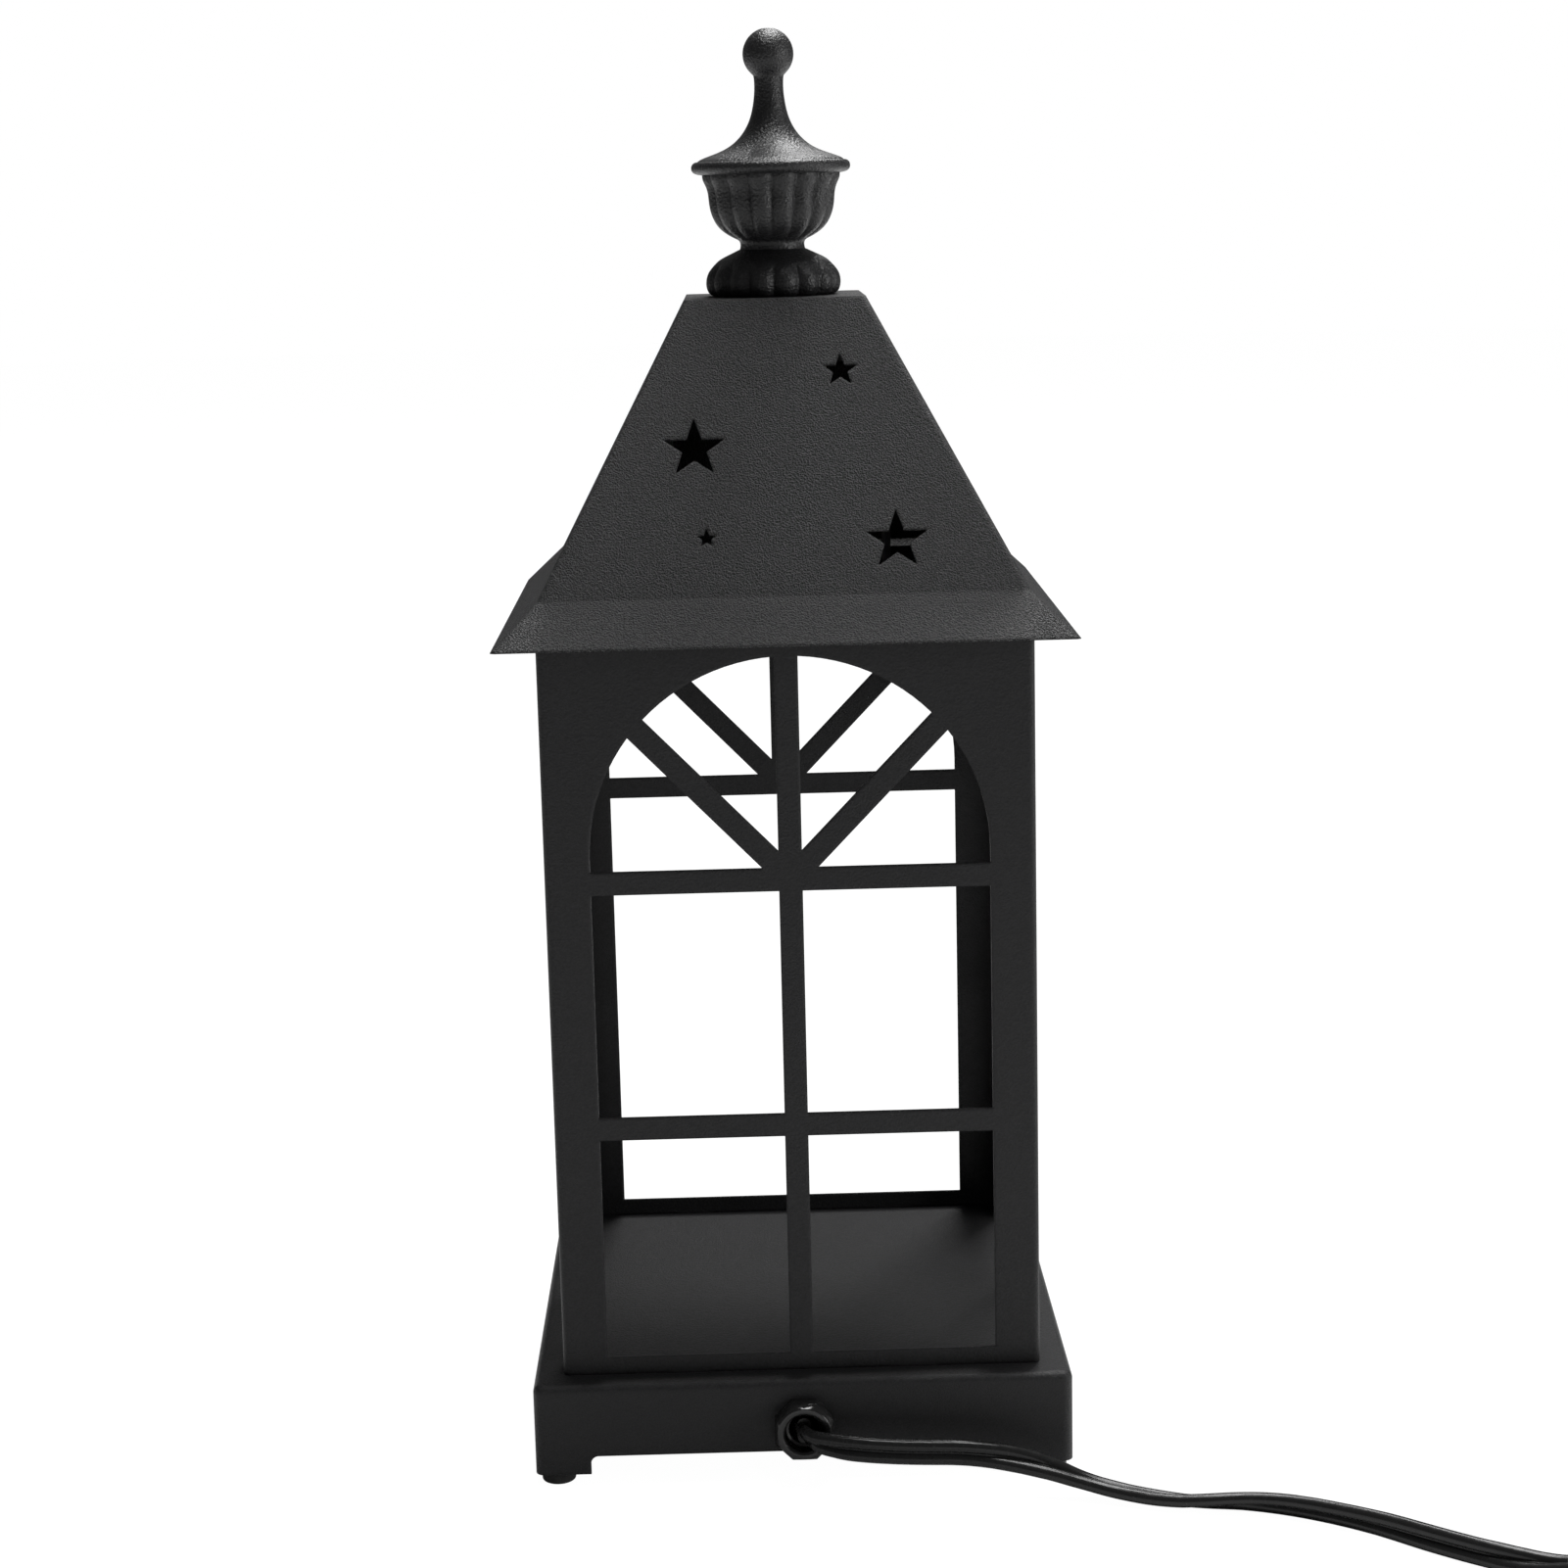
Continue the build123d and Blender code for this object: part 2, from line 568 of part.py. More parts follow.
with BuildPart() as body_rivets:
    for turn, out in ((0, BODY_HALF), (90, SIDE_OUT), (180, BODY_HALF), (270, SIDE_OUT)):
        height = CEILING_Z + RIVET_UP
        with BuildSketch(wall_plane(turn, out, height)):
            with GridLocations(2 * RIVET_AT, 0, 2, 1):
                Circle(RIVET_HEAD_R)
        extrude(amount=RIVET_HEAD_H, taper=30)
        with BuildSketch(wall_plane(turn, out, height)):
            with GridLocations(2 * RIVET_AT, 0, 2, 1):
                Circle(RIVET_R)
        extrude(amount=-2 * SHEET)
        with BuildSketch(wall_plane(turn, out - 2 * SHEET, height)):
            with GridLocations(2 * RIVET_AT, 0, 2, 1):
                Circle(RIVET_TAIL_R)
        extrude(amount=-RIVET_HEAD_H)
save(body_rivets, "body_rivets")

with BuildPart() as lead_duct:
    with BuildSketch(Plane.XY.offset(BASE_TOP)):
        with Locations((CEILING_X, -CEILING_Y)):
            outside = DUCT_W + DUCT_SHEET
            Rectangle(outside, outside, align=(Align.MAX, Align.MIN))
            Rectangle(DUCT_W, DUCT_W, align=(Align.MAX, Align.MIN), mode=Mode.SUBTRACT)
    extrude(amount=CEILING_Z - BASE_TOP)
save(lead_duct, "lead_duct")

for name, under, sheet in (
    ("base_grommet", BASE_TOP - BASE_SHEET, BASE_SHEET),
    ("ceiling_grommet", CEILING_Z, SHEET),
):
    with BuildPart() as grommet:
        for radius, low, high in (
            (GROMMET_R, under - GROMMET_LIP, under),
            (GROMMET_NECK_R, under, under + sheet),
            (GROMMET_R, under + sheet, under + sheet + GROMMET_LIP),
        ):
            with BuildSketch(Plane.XY.offset(low)):
                with Locations((DUCT_X, DUCT_Y)):
                    Circle(radius)
            extrude(amount=high - low)
        with Locations((DUCT_X, DUCT_Y, under)):
            Hole(LEAD_R + GROMMET_GAP)
    save(grommet, name)


# ================================================================ roof
def roof_block(levels):
    """A square block through (width, height, corner radius) levels."""
    outlines = []
    for width, height, radius in levels:
        with BuildSketch(Plane.XY.offset(height)) as outline:
            RectangleRounded(width, width, radius)
        outlines.append(outline.sketch)
    for lower, upper in zip(outlines, outlines[1:]):
        loft([lower, upper], ruled=True)


FLARE_SHIFT = SHEET * hypot(1, FLARE_RUN)
SLOPE_SHIFT = SHEET * hypot(1, SLOPE_RUN)
INNER_BEND_Z = (
    (EAVE_W - ROOF_BEND_W) / 2 - FLARE_SHIFT + SLOPE_SHIFT + FLARE_RUN * EAVE_Z - SLOPE_RUN * ROOF_BEND_Z
) / (FLARE_RUN - SLOPE_RUN)
INNER_BEND_W = ROOF_BEND_W - 2 * (SLOPE_SHIFT + SLOPE_RUN * (INNER_BEND_Z - ROOF_BEND_Z))
INNER_TOP_W = ROOF_BEND_W - 2 * (SLOPE_SHIFT + SLOPE_RUN * (ROOF_UNDER - ROOF_BEND_Z))
with BuildPart() as roof_hollow:
    roof_block(
        [
            (EAVE_W - 2 * FLARE_SHIFT, EAVE_Z, HIP_R - SHEET),
            (INNER_BEND_W, INNER_BEND_Z, HIP_R - SHEET),
            (INNER_TOP_W, ROOF_UNDER, HIP_R - SHEET),
        ]
    )
with BuildPart() as roof_shell:
    roof_block([(EAVE_W, EAVE_Z, HIP_R), (ROOF_BEND_W, ROOF_BEND_Z, HIP_R), (ROOF_TOP_W, ROOF_TOP, HIP_R)])
    add(roof_hollow.part, mode=Mode.SUBTRACT)
    for turn in (0, 90, 180, 270):
        upright = wall_plane(turn, ROOF_BEND_W / 2, ROOF_BEND_Z)
        normal = upright.z_dir + Vector(0, 0, SLOPE_RUN)
        with BuildSketch(Plane(upright.origin, upright.x_dir, normal)):
            for across, up, tip in STARS:
                spokes = [
                    (tip * (1 if k % 2 == 0 else STAR_WAIST), radians(90 + 36 * k)) for k in range(10)
                ]
                with Locations((across, up)):
                    Polygon(*[(r * cos(a), r * sin(a)) for r, a in spokes], align=None)
        extrude(amount=SHEET * 2, both=True, mode=Mode.SUBTRACT)
    with Locations((0, 0, ROOF_TOP)):
        Hole(STUD_R + HOLE_GAP, depth=2 * SHEET)
save(roof_shell, "roof_shell")


# ================================================================ finial
def outlined(under, *curves):
    """A flat outline of (radius, height) curves, standing on a height."""
    with BuildSketch() as half:
        with BuildLine():
            for curve in curves:
                spots = [(r, under + h) for r, h in curve]
                draw = {2: Line, 3: ThreePointArc}.get(len(spots), Spline)
                draw(*spots)
        make_face()
    return half.sketch


def turn_on_axis(outline):
    """Revolve a flat outline about the lantern's axis."""
    with BuildSketch(Plane.XZ) as half:
        add(outline)
    revolve(half.sketch, axis=Axis.Z)


def cut_flutes(outline, low, high):
    """Cut upright grooves round a turned piece between two heights."""
    core = offset(outline, -FLUTE_DEPTH, mode=Mode.PRIVATE)
    with BuildSketch(Plane.XZ) as fin:
        with Locations((STUD_R, low)):
            Rectangle(CAP_RIM[1][0], high - low, align=(Align.MIN, Align.MIN))
        add(core, mode=Mode.SUBTRACT)
    blade = extrude(fin.sketch, FLUTE_W / 2, both=True, mode=Mode.PRIVATE)
    with PolarLocations(0, FLUTES):
        add(blade, mode=Mode.SUBTRACT)


with BuildPart() as finial_foot:
    foot_outline = outlined(
        ROOF_TOP,
        [(0, 0), FOOT_CUSHION[0]],
        FOOT_CUSHION,
        FOOT_SHOULDER,
        [FOOT_SHOULDER[-1], (0, FINIAL_FOOT_H)],
        [(0, FINIAL_FOOT_H), (0, 0)],
    )
    turn_on_axis(foot_outline)
    cut_flutes(foot_outline, ROOF_TOP + FLUTE_DEPTH, ROOF_TOP + FOOT_CUSHION[-1][1])
    with Locations((0, 0, ROOF_TOP)):
        Hole(STUD_R + HOLE_GAP)
save(finial_foot, "finial_foot")

with BuildPart() as finial_urn:
    urn_outline = outlined(
        URN_Z,
        [(0, 0), (URN_NECK_R, 0)],
        [(URN_NECK_R, 0), (URN_NECK_R, URN_NECK_H)],
        [(URN_NECK_R, URN_NECK_H), URN_BOWL[0]],
        URN_BOWL,
        URN_LIP,
        [URN_LIP[-1], (URN_LIP[-1][0], URN_H)],
        [(URN_LIP[-1][0], URN_H), (0, URN_H)],
        [(0, URN_H), (0, 0)],
    )
    turn_on_axis(urn_outline)
    cut_flutes(urn_outline, URN_Z + URN_BOWL[0][1] + FLUTE_DEPTH, CAP_Z - FLUTE_DEPTH)
    with Locations((0, 0, URN_Z)):
        Hole(STUD_R + HOLE_GAP)
save(finial_urn, "finial_urn")

with BuildPart() as finial_cap:
    cap_outline = outlined(
        CAP_Z,
        [(0, 0), CAP_RIM[0]],
        CAP_RIM,
        CAP_SPIRE,
        [CAP_SPIRE[-1], (0, CAP_SPIRE[-1][1])],
        [(0, CAP_SPIRE[-1][1]), (0, 0)],
    )
    turn_on_axis(cap_outline)
    with Locations((0, 0, CAP_Z + BALL_Z)):
        Sphere(BALL_R)
    with BuildSketch(Plane.XY.offset(CAP_Z)):
        Circle(STUD_R + HOLE_GAP)
    extrude(amount=STUD_INTO_CAP, mode=Mode.SUBTRACT)
save(finial_cap, "finial_cap")

with BuildPart() as finial_stud:
    with BuildSketch(Plane.XY.offset(BAR_Z)):
        Circle(STUD_R)
    extrude(amount=CAP_Z + STUD_INTO_CAP - REST_GAP - BAR_Z)
save(finial_stud, "finial_stud")

BAR_TOP = BAR_Z + BRACKET_T
WASHER_Z = ROOF_UNDER - WASHER_T
with BuildPart() as stud_nuts:
    for under in (BAR_TOP, WASHER_Z - M6_NUT_H):
        with BuildSketch(Plane.XY.offset(under)):
            RegularPolygon(M6_NUT_AF / 2, 6, major_radius=False)
            Circle(STUD_R + HOLE_GAP, mode=Mode.SUBTRACT)
        extrude(amount=M6_NUT_H)
save(stud_nuts, "stud_nuts")

with BuildPart() as roof_washer:
    with BuildSketch(Plane.XY.offset(WASHER_Z)):
        Circle(WASHER_R)
        Circle(STUD_R + HOLE_GAP, mode=Mode.SUBTRACT)
    extrude(amount=WASHER_T)
save(roof_washer, "roof_washer")

# ================================================================ lamp bracket
with BuildPart() as lamp_bracket:
    with BuildSketch(Plane.XZ) as strap:
        with Locations((0, CEILING_TOP)):
            Rectangle(2 * LEG_OUT, BAR_TOP - CEILING_TOP, align=(Align.CENTER, Align.MIN))
        fillet(strap.vertices().group_by(Axis.Y)[-1], 2 * BRACKET_T)
        with Locations((0, CEILING_TOP)):
            Rectangle(
                2 * BRACKET_INSIDE, BAR_Z - CEILING_TOP, align=(Align.CENTER, Align.MIN), mode=Mode.SUBTRACT
            )
            with GridLocations(2 * (LEG_OUT + BRACKET_FOOT_L) - BRACKET_FOOT_L, 0, 2, 1):
                Rectangle(BRACKET_FOOT_L, BRACKET_T, align=(Align.CENTER, Align.MIN))
    extrude(amount=BRACKET_W / 2, both=True)
    with BuildSketch(Plane.XY.offset(CEILING_TOP)):
        with GridLocations(2 * BRACKET_HOLE_AT, 0, 2, 1):
            Circle(M3_R + HOLE_GAP)
    extrude(amount=BRACKET_T, mode=Mode.SUBTRACT)
    with BuildSketch(Plane.XY.offset(BAR_Z)):
        Circle(STUD_R + HOLE_GAP)
        with GridLocations(2 * HOLDER_SCREW_AT, 0, 2, 1):
            Circle(M3_R + HOLE_GAP)
    extrude(amount=BRACKET_T, mode=Mode.SUBTRACT)
save(lamp_bracket, "lamp_bracket")


def pan_screws(at, seat, length):
    """Two pan-head screws on the X axis, driven down from a seat."""
    extrude(discs(Plane.XY.offset(seat), M3_HEAD_R, (-at, 0), (at, 0)), M3_HEAD_H)
    extrude(discs(Plane.XY.offset(seat), M3_R, (-at, 0), (at, 0)), -length)


with BuildPart() as bracket_screws:
    pan_screws(BRACKET_HOLE_AT, CEILING_TOP + BRACKET_T, BRACKET_SCREW_L)
save(bracket_screws, "bracket_screws")

with BuildPart() as bracket_nuts:
    with BuildSketch(Plane.XY.offset(CEILING_Z)):
        with GridLocations(2 * BRACKET_HOLE_AT, 0, 2, 1):
            RegularPolygon(M3_NUT_AF / 2, 6, major_radius=False)
            Circle(M3_R + HOLE_GAP, mode=Mode.SUBTRACT)
    extrude(amount=-M3_NUT_H)
save(bracket_nuts, "bracket_nuts")

# ================================================================ lamp holder
CHAMBER_Z = HOLDER_Z + HOLDER_FLOOR
CHAMBER_TOP = CHAMBER_Z + HOLDER_CHAMBER_H
HOLDER_TOP = HOLDER_Z + HOLDER_H
PIN_R = PIN_SPACING / 2


def pin_tracks(height, radius):
    """What two pins of that radius sweep as the bulb turns to its lock."""
    with BuildLine() as path:
        CenterArc((0, 0), PIN_R, 90 - TWIST, TWIST)
    with BuildSketch(Plane.XY.offset(height)) as tracks:
        SlotArc(path.edge(), 2 * radius)
        SlotArc(path.edge(), 2 * radius, rotation=180)
    return tracks.sketch


with BuildPart() as holder_body:
    with BuildSketch(Plane.XY.offset(HOLDER_Z)):
        Circle(HOLDER_R)
    extrude(amount=HOLDER_H)
    extrude(pin_tracks(HOLDER_Z, PIN_NECK_R + PIN_GAP), HOLDER_FLOOR, mode=Mode.SUBTRACT)
    extrude(pin_tracks(CHAMBER_Z, PIN_HEAD_R + PIN_GAP), HOLDER_CHAMBER_H, mode=Mode.SUBTRACT)
    with BuildSketch(Plane.XY.offset(HOLDER_Z)):
        with PolarLocations(PIN_R, 2, start_angle=90 - TWIST):
            Circle(PIN_HEAD_R + PIN_GAP)
    extrude(amount=HOLDER_FLOOR, mode=Mode.SUBTRACT)
    with BuildSketch(Plane.XY.offset(CHAMBER_TOP)):
        with PolarLocations(PIN_R, 2, start_angle=90):
            Circle(CONTACT_R + HOLE_GAP)
    extrude(amount=HOLDER_TOP - CHAMBER_TOP, mode=Mode.SUBTRACT)
    with BuildSketch(Plane.XY.offset(HOLDER_TOP)):
        with GridLocations(2 * HOLDER_SCREW_AT, 0, 2, 1):
            Circle(M3_R + HOLE_GAP)
    extrude(amount=-(HOLDER_SCREW_L - BRACKET_T - HOLDER_CAP_H), mode=Mode.SUBTRACT)
save(holder_body, "holder_body")

CAP_CAVITY_HALF = HOLDER_SCREW_AT - M3_R - HOLDER_CAP_WALL
with BuildPart() as holder_cap:
    with BuildSketch(Plane.XY.offset(HOLDER_TOP)):
        Circle(HOLDER_R)
    extrude(amount=HOLDER_CAP_H)
    with BuildSketch(Plane.XY.offset(HOLDER_TOP)):
        Rectangle(2 * CAP_CAVITY_HALF, 2 * (HOLDER_R - 2 * HOLDER_CAP_WALL))
    extrude(amount=HOLDER_CAP_H - HOLDER_CAP_WALL, mode=Mode.SUBTRACT)
    with BuildSketch(wall_plane(0, 0, LEAD_ROUTE[-1][2])):
        SlotOverall(3 * LEAD_R, 2 * (LEAD_R + REST_GAP), rotation=90)
    extrude(amount=HOLDER_R, mode=Mode.SUBTRACT)
    with BuildSketch(Plane.XY.offset(HOLDER_TOP)):
        with GridLocations(2 * HOLDER_SCREW_AT, 0, 2, 1):
            Circle(M3_R + HOLE_GAP)
    extrude(amount=HOLDER_CAP_H, mode=Mode.SUBTRACT)
save(holder_cap, "holder_cap")

with BuildPart() as holder_contacts:
    with BuildSketch(Plane.XY.offset(CHAMBER_TOP)):
        with PolarLocations(PIN_R, 2, start_angle=90):
            Circle(CONTACT_R)
    extrude(amount=HOLDER_TOP - CHAMBER_TOP + HOLDER_CAP_WALL)
    with BuildSketch(Plane.XY.offset(CHAMBER_TOP)):
        with PolarLocations(PIN_R, 2, start_angle=90):
            Circle(PIN_HEAD_R - PIN_GAP)
    extrude(amount=-(HOLDER_CHAMBER_H + HOLDER_FLOOR - PIN_NECK_H - PIN_HEAD_H))
save(holder_contacts, "holder_contacts")

with BuildPart() as holder_screws:
    pan_screws(HOLDER_SCREW_AT, BAR_TOP, HOLDER_SCREW_L)
save(holder_screws, "holder_screws")

# ================================================================ bulb
BULB_NECK_Z = BULB_TOP - BULB_BASE_H
BULB_NECK_TOP = BULB_NECK_Z + BULB_NECK_L
NECK_OUT = BULB_BASE_R - BULB_GLASS_T
NECK_IN = NECK_OUT - BULB_GLASS_T
RIM_Z = BULB_FACE_Z + BULB_RIM_H
with BuildPart() as bulb_reflector:
    with BuildSketch(Plane.XZ):
        with BuildLine():
            Spline((BULB_R, RIM_Z), (BULB_WAIST_R, BULB_WAIST_Z), (BULB_BASE_R, BULB_NECK_Z))
            Polyline(
                (BULB_BASE_R, BULB_NECK_Z),
                (NECK_OUT, BULB_NECK_Z),
                (NECK_OUT, BULB_NECK_TOP),
                (NECK_IN, BULB_NECK_TOP),
                (NECK_IN, BULB_NECK_Z),
            )
            Spline(
                (NECK_IN, BULB_NECK_Z),
                (BULB_WAIST_R - BULB_GLASS_T, BULB_WAIST_Z),
                (BULB_R - BULB_GLASS_T, RIM_Z),
            )
            Polyline(
                (BULB_R - BULB_GLASS_T, RIM_Z),
                (BULB_R - BULB_GLASS_T, BULB_FACE_Z),
                (BULB_R, BULB_FACE_Z),
                (BULB_R, RIM_Z),
            )
        make_face()
    revolve(axis=Axis.Z)
save(bulb_reflector, "bulb_reflector")

with BuildPart() as bulb_front_glass:
    with BuildSketch(Plane.XY.offset(BULB_FACE_Z)):
        Circle(BULB_R - BULB_GLASS_T - HOLE_GAP)
    extrude(amount=BULB_RIM_H / 2)
save(bulb_front_glass, "bulb_front_glass")

with BuildPart() as bulb_base:
    with BuildSketch(Plane.XY.offset(BULB_NECK_Z)):
        Circle(BULB_BASE_R)
    extrude(amount=BULB_BASE_H)
    with BuildSketch(Plane.XY.offset(BULB_NECK_Z)):
        Circle(NECK_OUT + HOLE_GAP)
    extrude(amount=BULB_NECK_L, mode=Mode.SUBTRACT)
    with BuildSketch(Plane.XY.offset(BULB_NECK_TOP)):
        Circle(CAPSULE_R + HOLE_GAP)
    extrude(amount=CAPSULE_SEAT, mode=Mode.SUBTRACT)
    fillet(bulb_base.faces().sort_by(Axis.Z)[-1].edges(), BULB_EDGE_R)
save(bulb_base, "bulb_base")

with BuildPart() as bulb_capsule:
    with BuildSketch(Plane.XY.offset(BULB_NECK_TOP + CAPSULE_SEAT - CAPSULE_H)):
        Circle(CAPSULE_R)
    extrude(amount=CAPSULE_H)
    fillet(bulb_capsule.faces().sort_by(Axis.Z)[0].edges(), CAPSULE_R / 2)
save(bulb_capsule, "bulb_capsule")

with BuildPart() as bulb_pins:
    with BuildSketch(Plane.XY.offset(BULB_TOP)):
        with PolarLocations(PIN_R, 2, start_angle=90):
            Circle(PIN_NECK_R)
    extrude(amount=PIN_NECK_H)
    with BuildSketch(Plane.XY.offset(BULB_TOP + PIN_NECK_H)):
        with PolarLocations(PIN_R, 2, start_angle=90):
            Circle(PIN_HEAD_R)
    extrude(amount=PIN_HEAD_H)
save(bulb_pins, "bulb_pins")

# ================================================================ lead and gland
with BuildPart() as cord_gland:
    with BuildSketch(wall_plane(0, BASE_HALF)):
        with Locations((0, GLAND_Z)):
            RegularPolygon(GLAND_AF / 2, GLAND_SIDES, major_radius=False, rotation=180 / GLAND_SIDES)
    extrude(amount=GLAND_HEAD_L)
    chamfer(cord_gland.faces().sort_by(Axis.Y)[0].edges(), GLAND_CHAMFER)
    with BuildSketch(wall_plane(0, BASE_HALF)):
        with Locations((0, GLAND_Z)):
            Circle(GLAND_THREAD_R)
    extrude(amount=-GLAND_THREAD_L)
    with BuildSketch(wall_plane(0, BASE_HALF + GLAND_HEAD_L)):
        with Locations((0, GLAND_Z)):
            Circle(GLAND_MOUTH_R)
    extrude(amount=-GLAND_MOUTH_L, mode=Mode.SUBTRACT)
    with BuildSketch(wall_plane(0, BASE_HALF + GLAND_HEAD_L)):
        with Locations((0, GLAND_Z)):
            SlotOverall(CORD_W + 2 * FIT, CORD_T + 2 * FIT, rotation=90)
    extrude(amount=-(GLAND_HEAD_L + GLAND_THREAD_L), mode=Mode.SUBTRACT)
save(cord_gland, "cord_gland")

with BuildPart() as gland_locknut:
    with BuildSketch(wall_plane(0, BASE_HALF - BASE_SHEET)):
        with Locations((0, GLAND_Z)):
            RegularPolygon(LOCKNUT_AF / 2, 6, major_radius=False, rotation=30)
            Circle(GLAND_THREAD_R + HOLE_GAP, mode=Mode.SUBTRACT)
    extrude(amount=-LOCKNUT_T)
save(gland_locknut, "gland_locknut")

with BuildPart() as cord_tail:
    with BuildSketch(Plane.XZ.offset(-LAMP_SIDE[0][1])):
        with Locations((0, GLAND_Z)):
            SlotOverall(CORD_W, CORD_T, rotation=90)
    extrude(amount=-(TAIL_END_Y - LAMP_SIDE[0][1]))
save(cord_tail, "cord_tail")

with BuildPart() as crimp_connectors:
    with BuildSketch(Plane.XZ.offset(-TAIL_END_Y)):
        with Locations((-CONNECTOR_R - FIT, GLAND_Z), (CONNECTOR_R + FIT, GLAND_Z)):
            Circle(CONNECTOR_R)
    extrude(amount=-CONNECTOR_L)
    fillet(crimp_connectors.faces().group_by(Axis.Y)[-1].edges(), CONNECTOR_R / 2)
save(crimp_connectors, "crimp_connectors")

lamp_lead = tube(LEAD_ROUTE, LEAD_BENDS, LEAD_R)
save(lamp_lead, "lamp_lead")

cord_lamp_side = tube(LAMP_SIDE, corner_radii(LAMP_SIDE), CORD_W / 2)
save(cord_lamp_side, "cord_lamp_side")

cord_plug_side = tube(PLUG_SIDE, corner_radii(PLUG_SIDE), CORD_W / 2)
save(cord_plug_side, "cord_plug_side")

# ================================================================ dimmer
WHEEL_Z = DIMMER_H + WHEEL_PROUD - WHEEL_R
POST_OUT = WHEEL_T / 2 + WHEEL_SIDE_GAP
BOSSES = [
    (DIMMER_X - DIMMER_BOSS_X, DIMMER_Y + DIMMER_BOSS_Y),
    (DIMMER_X + DIMMER_BOSS_X, DIMMER_Y - DIMMER_BOSS_Y),
]


def dimmer_outline(height, inset):
    """The dimmer's rounded outline at a height, drawn in by an inset."""
    with BuildSketch(Plane.XY.offset(height)) as outline:
        with Locations((DIMMER_X, DIMMER_Y)):
            RectangleRounded(DIMMER_L - 2 * inset, DIMMER_W - 2 * inset, DIMMER_END_R - inset)
    return outline.sketch


def cord_entries():
    """Cut the two round cord entries in line through the ends."""
    for end in (DIMMER_X - DIMMER_L / 2, DIMMER_X + DIMMER_L / 2):
        bore = discs(Plane.YZ.offset(end), CORD_W / 2 + REST_GAP, (DIMMER_Y, ENTRY_Z))
        extrude(bore, 2 * DIMMER_WALL, both=True, mode=Mode.SUBTRACT)


with BuildPart() as dimmer_base:
    extrude(dimmer_outline(0, 0), ENTRY_Z)
    fillet(dimmer_base.faces().sort_by(Axis.Z)[0].edges(), DIMMER_EDGE_R)
    extrude(dimmer_outline(DIMMER_WALL, DIMMER_WALL), ENTRY_Z, mode=Mode.SUBTRACT)
    cord_entries()
    extrude(discs(Plane.XY.offset(DIMMER_WALL), DIMMER_BOSS_R, *BOSSES), ENTRY_Z - DIMMER_WALL)
    with BuildSketch(Plane.XY.offset(DIMMER_WALL)):
        with Locations((DIMMER_X, DIMMER_Y)):
            with GridLocations(0, 2 * POST_OUT + POST_T, 1, 2):
                Rectangle(POST_W, POST_T)
    extrude(amount=WHEEL_Z + POST_W / 2 - DIMMER_WALL)
    axle_bore = discs(Plane.XZ.offset(-DIMMER_Y), AXLE_R + RUN_GAP, (DIMMER_X, WHEEL_Z))
    extrude(axle_bore, POST_OUT + POST_T, both=True, mode=Mode.SUBTRACT)
    extrude(discs(Plane.XY, DIMMER_SCREW_R + HOLE_GAP, *BOSSES), ENTRY_Z, mode=Mode.SUBTRACT)
    extrude(discs(Plane.XY, DIMMER_SCREW_HEAD_R + FIT, *BOSSES), DIMMER_SCREW_SEAT, mode=Mode.SUBTRACT)
save(dimmer_base, "dimmer_base")

with BuildPart() as dimmer_cover:
    extrude(dimmer_outline(ENTRY_Z, 0), DIMMER_H - ENTRY_Z)
    fillet(dimmer_cover.faces().sort_by(Axis.Z)[-1].edges(), DIMMER_EDGE_R)
    hollow_h = DIMMER_H - DIMMER_WALL - ENTRY_Z
    extrude(dimmer_outline(ENTRY_Z, DIMMER_WALL), hollow_h, mode=Mode.SUBTRACT)
    cord_entries()
    extrude(discs(Plane.XY.offset(ENTRY_Z), DIMMER_BOSS_R, *BOSSES), hollow_h)
    screw_bore = discs(Plane.XY.offset(ENTRY_Z), DIMMER_SCREW_R + HOLE_GAP, *BOSSES)
    extrude(screw_bore, DIMMER_SCREW_END - ENTRY_Z, mode=Mode.SUBTRACT)
    with BuildSketch(Plane.XY.offset(DIMMER_H)):
        with Locations((DIMMER_X, DIMMER_Y)):
            Rectangle(2 * (WHEEL_R + WHEEL_SIDE_GAP), WHEEL_T + 2 * WHEEL_SIDE_GAP)
    extrude(amount=-DIMMER_WALL, mode=Mode.SUBTRACT)
save(dimmer_cover, "dimmer_cover")

with BuildPart() as dimmer_screws:
    extrude(discs(Plane.XY.offset(DIMMER_SCREW_SEAT), DIMMER_SCREW_HEAD_R, *BOSSES), -DIMMER_SCREW_HEAD_H)
    shank = discs(Plane.XY.offset(DIMMER_SCREW_SEAT), DIMMER_SCREW_R, *BOSSES)
    extrude(shank, DIMMER_SCREW_END - DIMMER_SCREW_SEAT)
save(dimmer_screws, "dimmer_screws")

with BuildPart() as dimmer_wheel:
    with BuildSketch(Plane.XZ.offset(-DIMMER_Y)):
        with Locations((DIMMER_X, WHEEL_Z)):
            Circle(WHEEL_R)
            Circle(AXLE_R, mode=Mode.SUBTRACT)
            with PolarLocations(WHEEL_R, WHEEL_GRIPS):
                Circle(WHEEL_GRIP_R, mode=Mode.SUBTRACT)
    extrude(amount=WHEEL_T / 2, both=True)
save(dimmer_wheel, "dimmer_wheel")

with BuildPart() as dimmer_axle:
    with BuildSketch(Plane.XZ.offset(-DIMMER_Y)):
        with Locations((DIMMER_X, WHEEL_Z)):
            Circle(AXLE_R)
    extrude(amount=POST_OUT + POST_T, both=True)
save(dimmer_axle, "dimmer_axle")

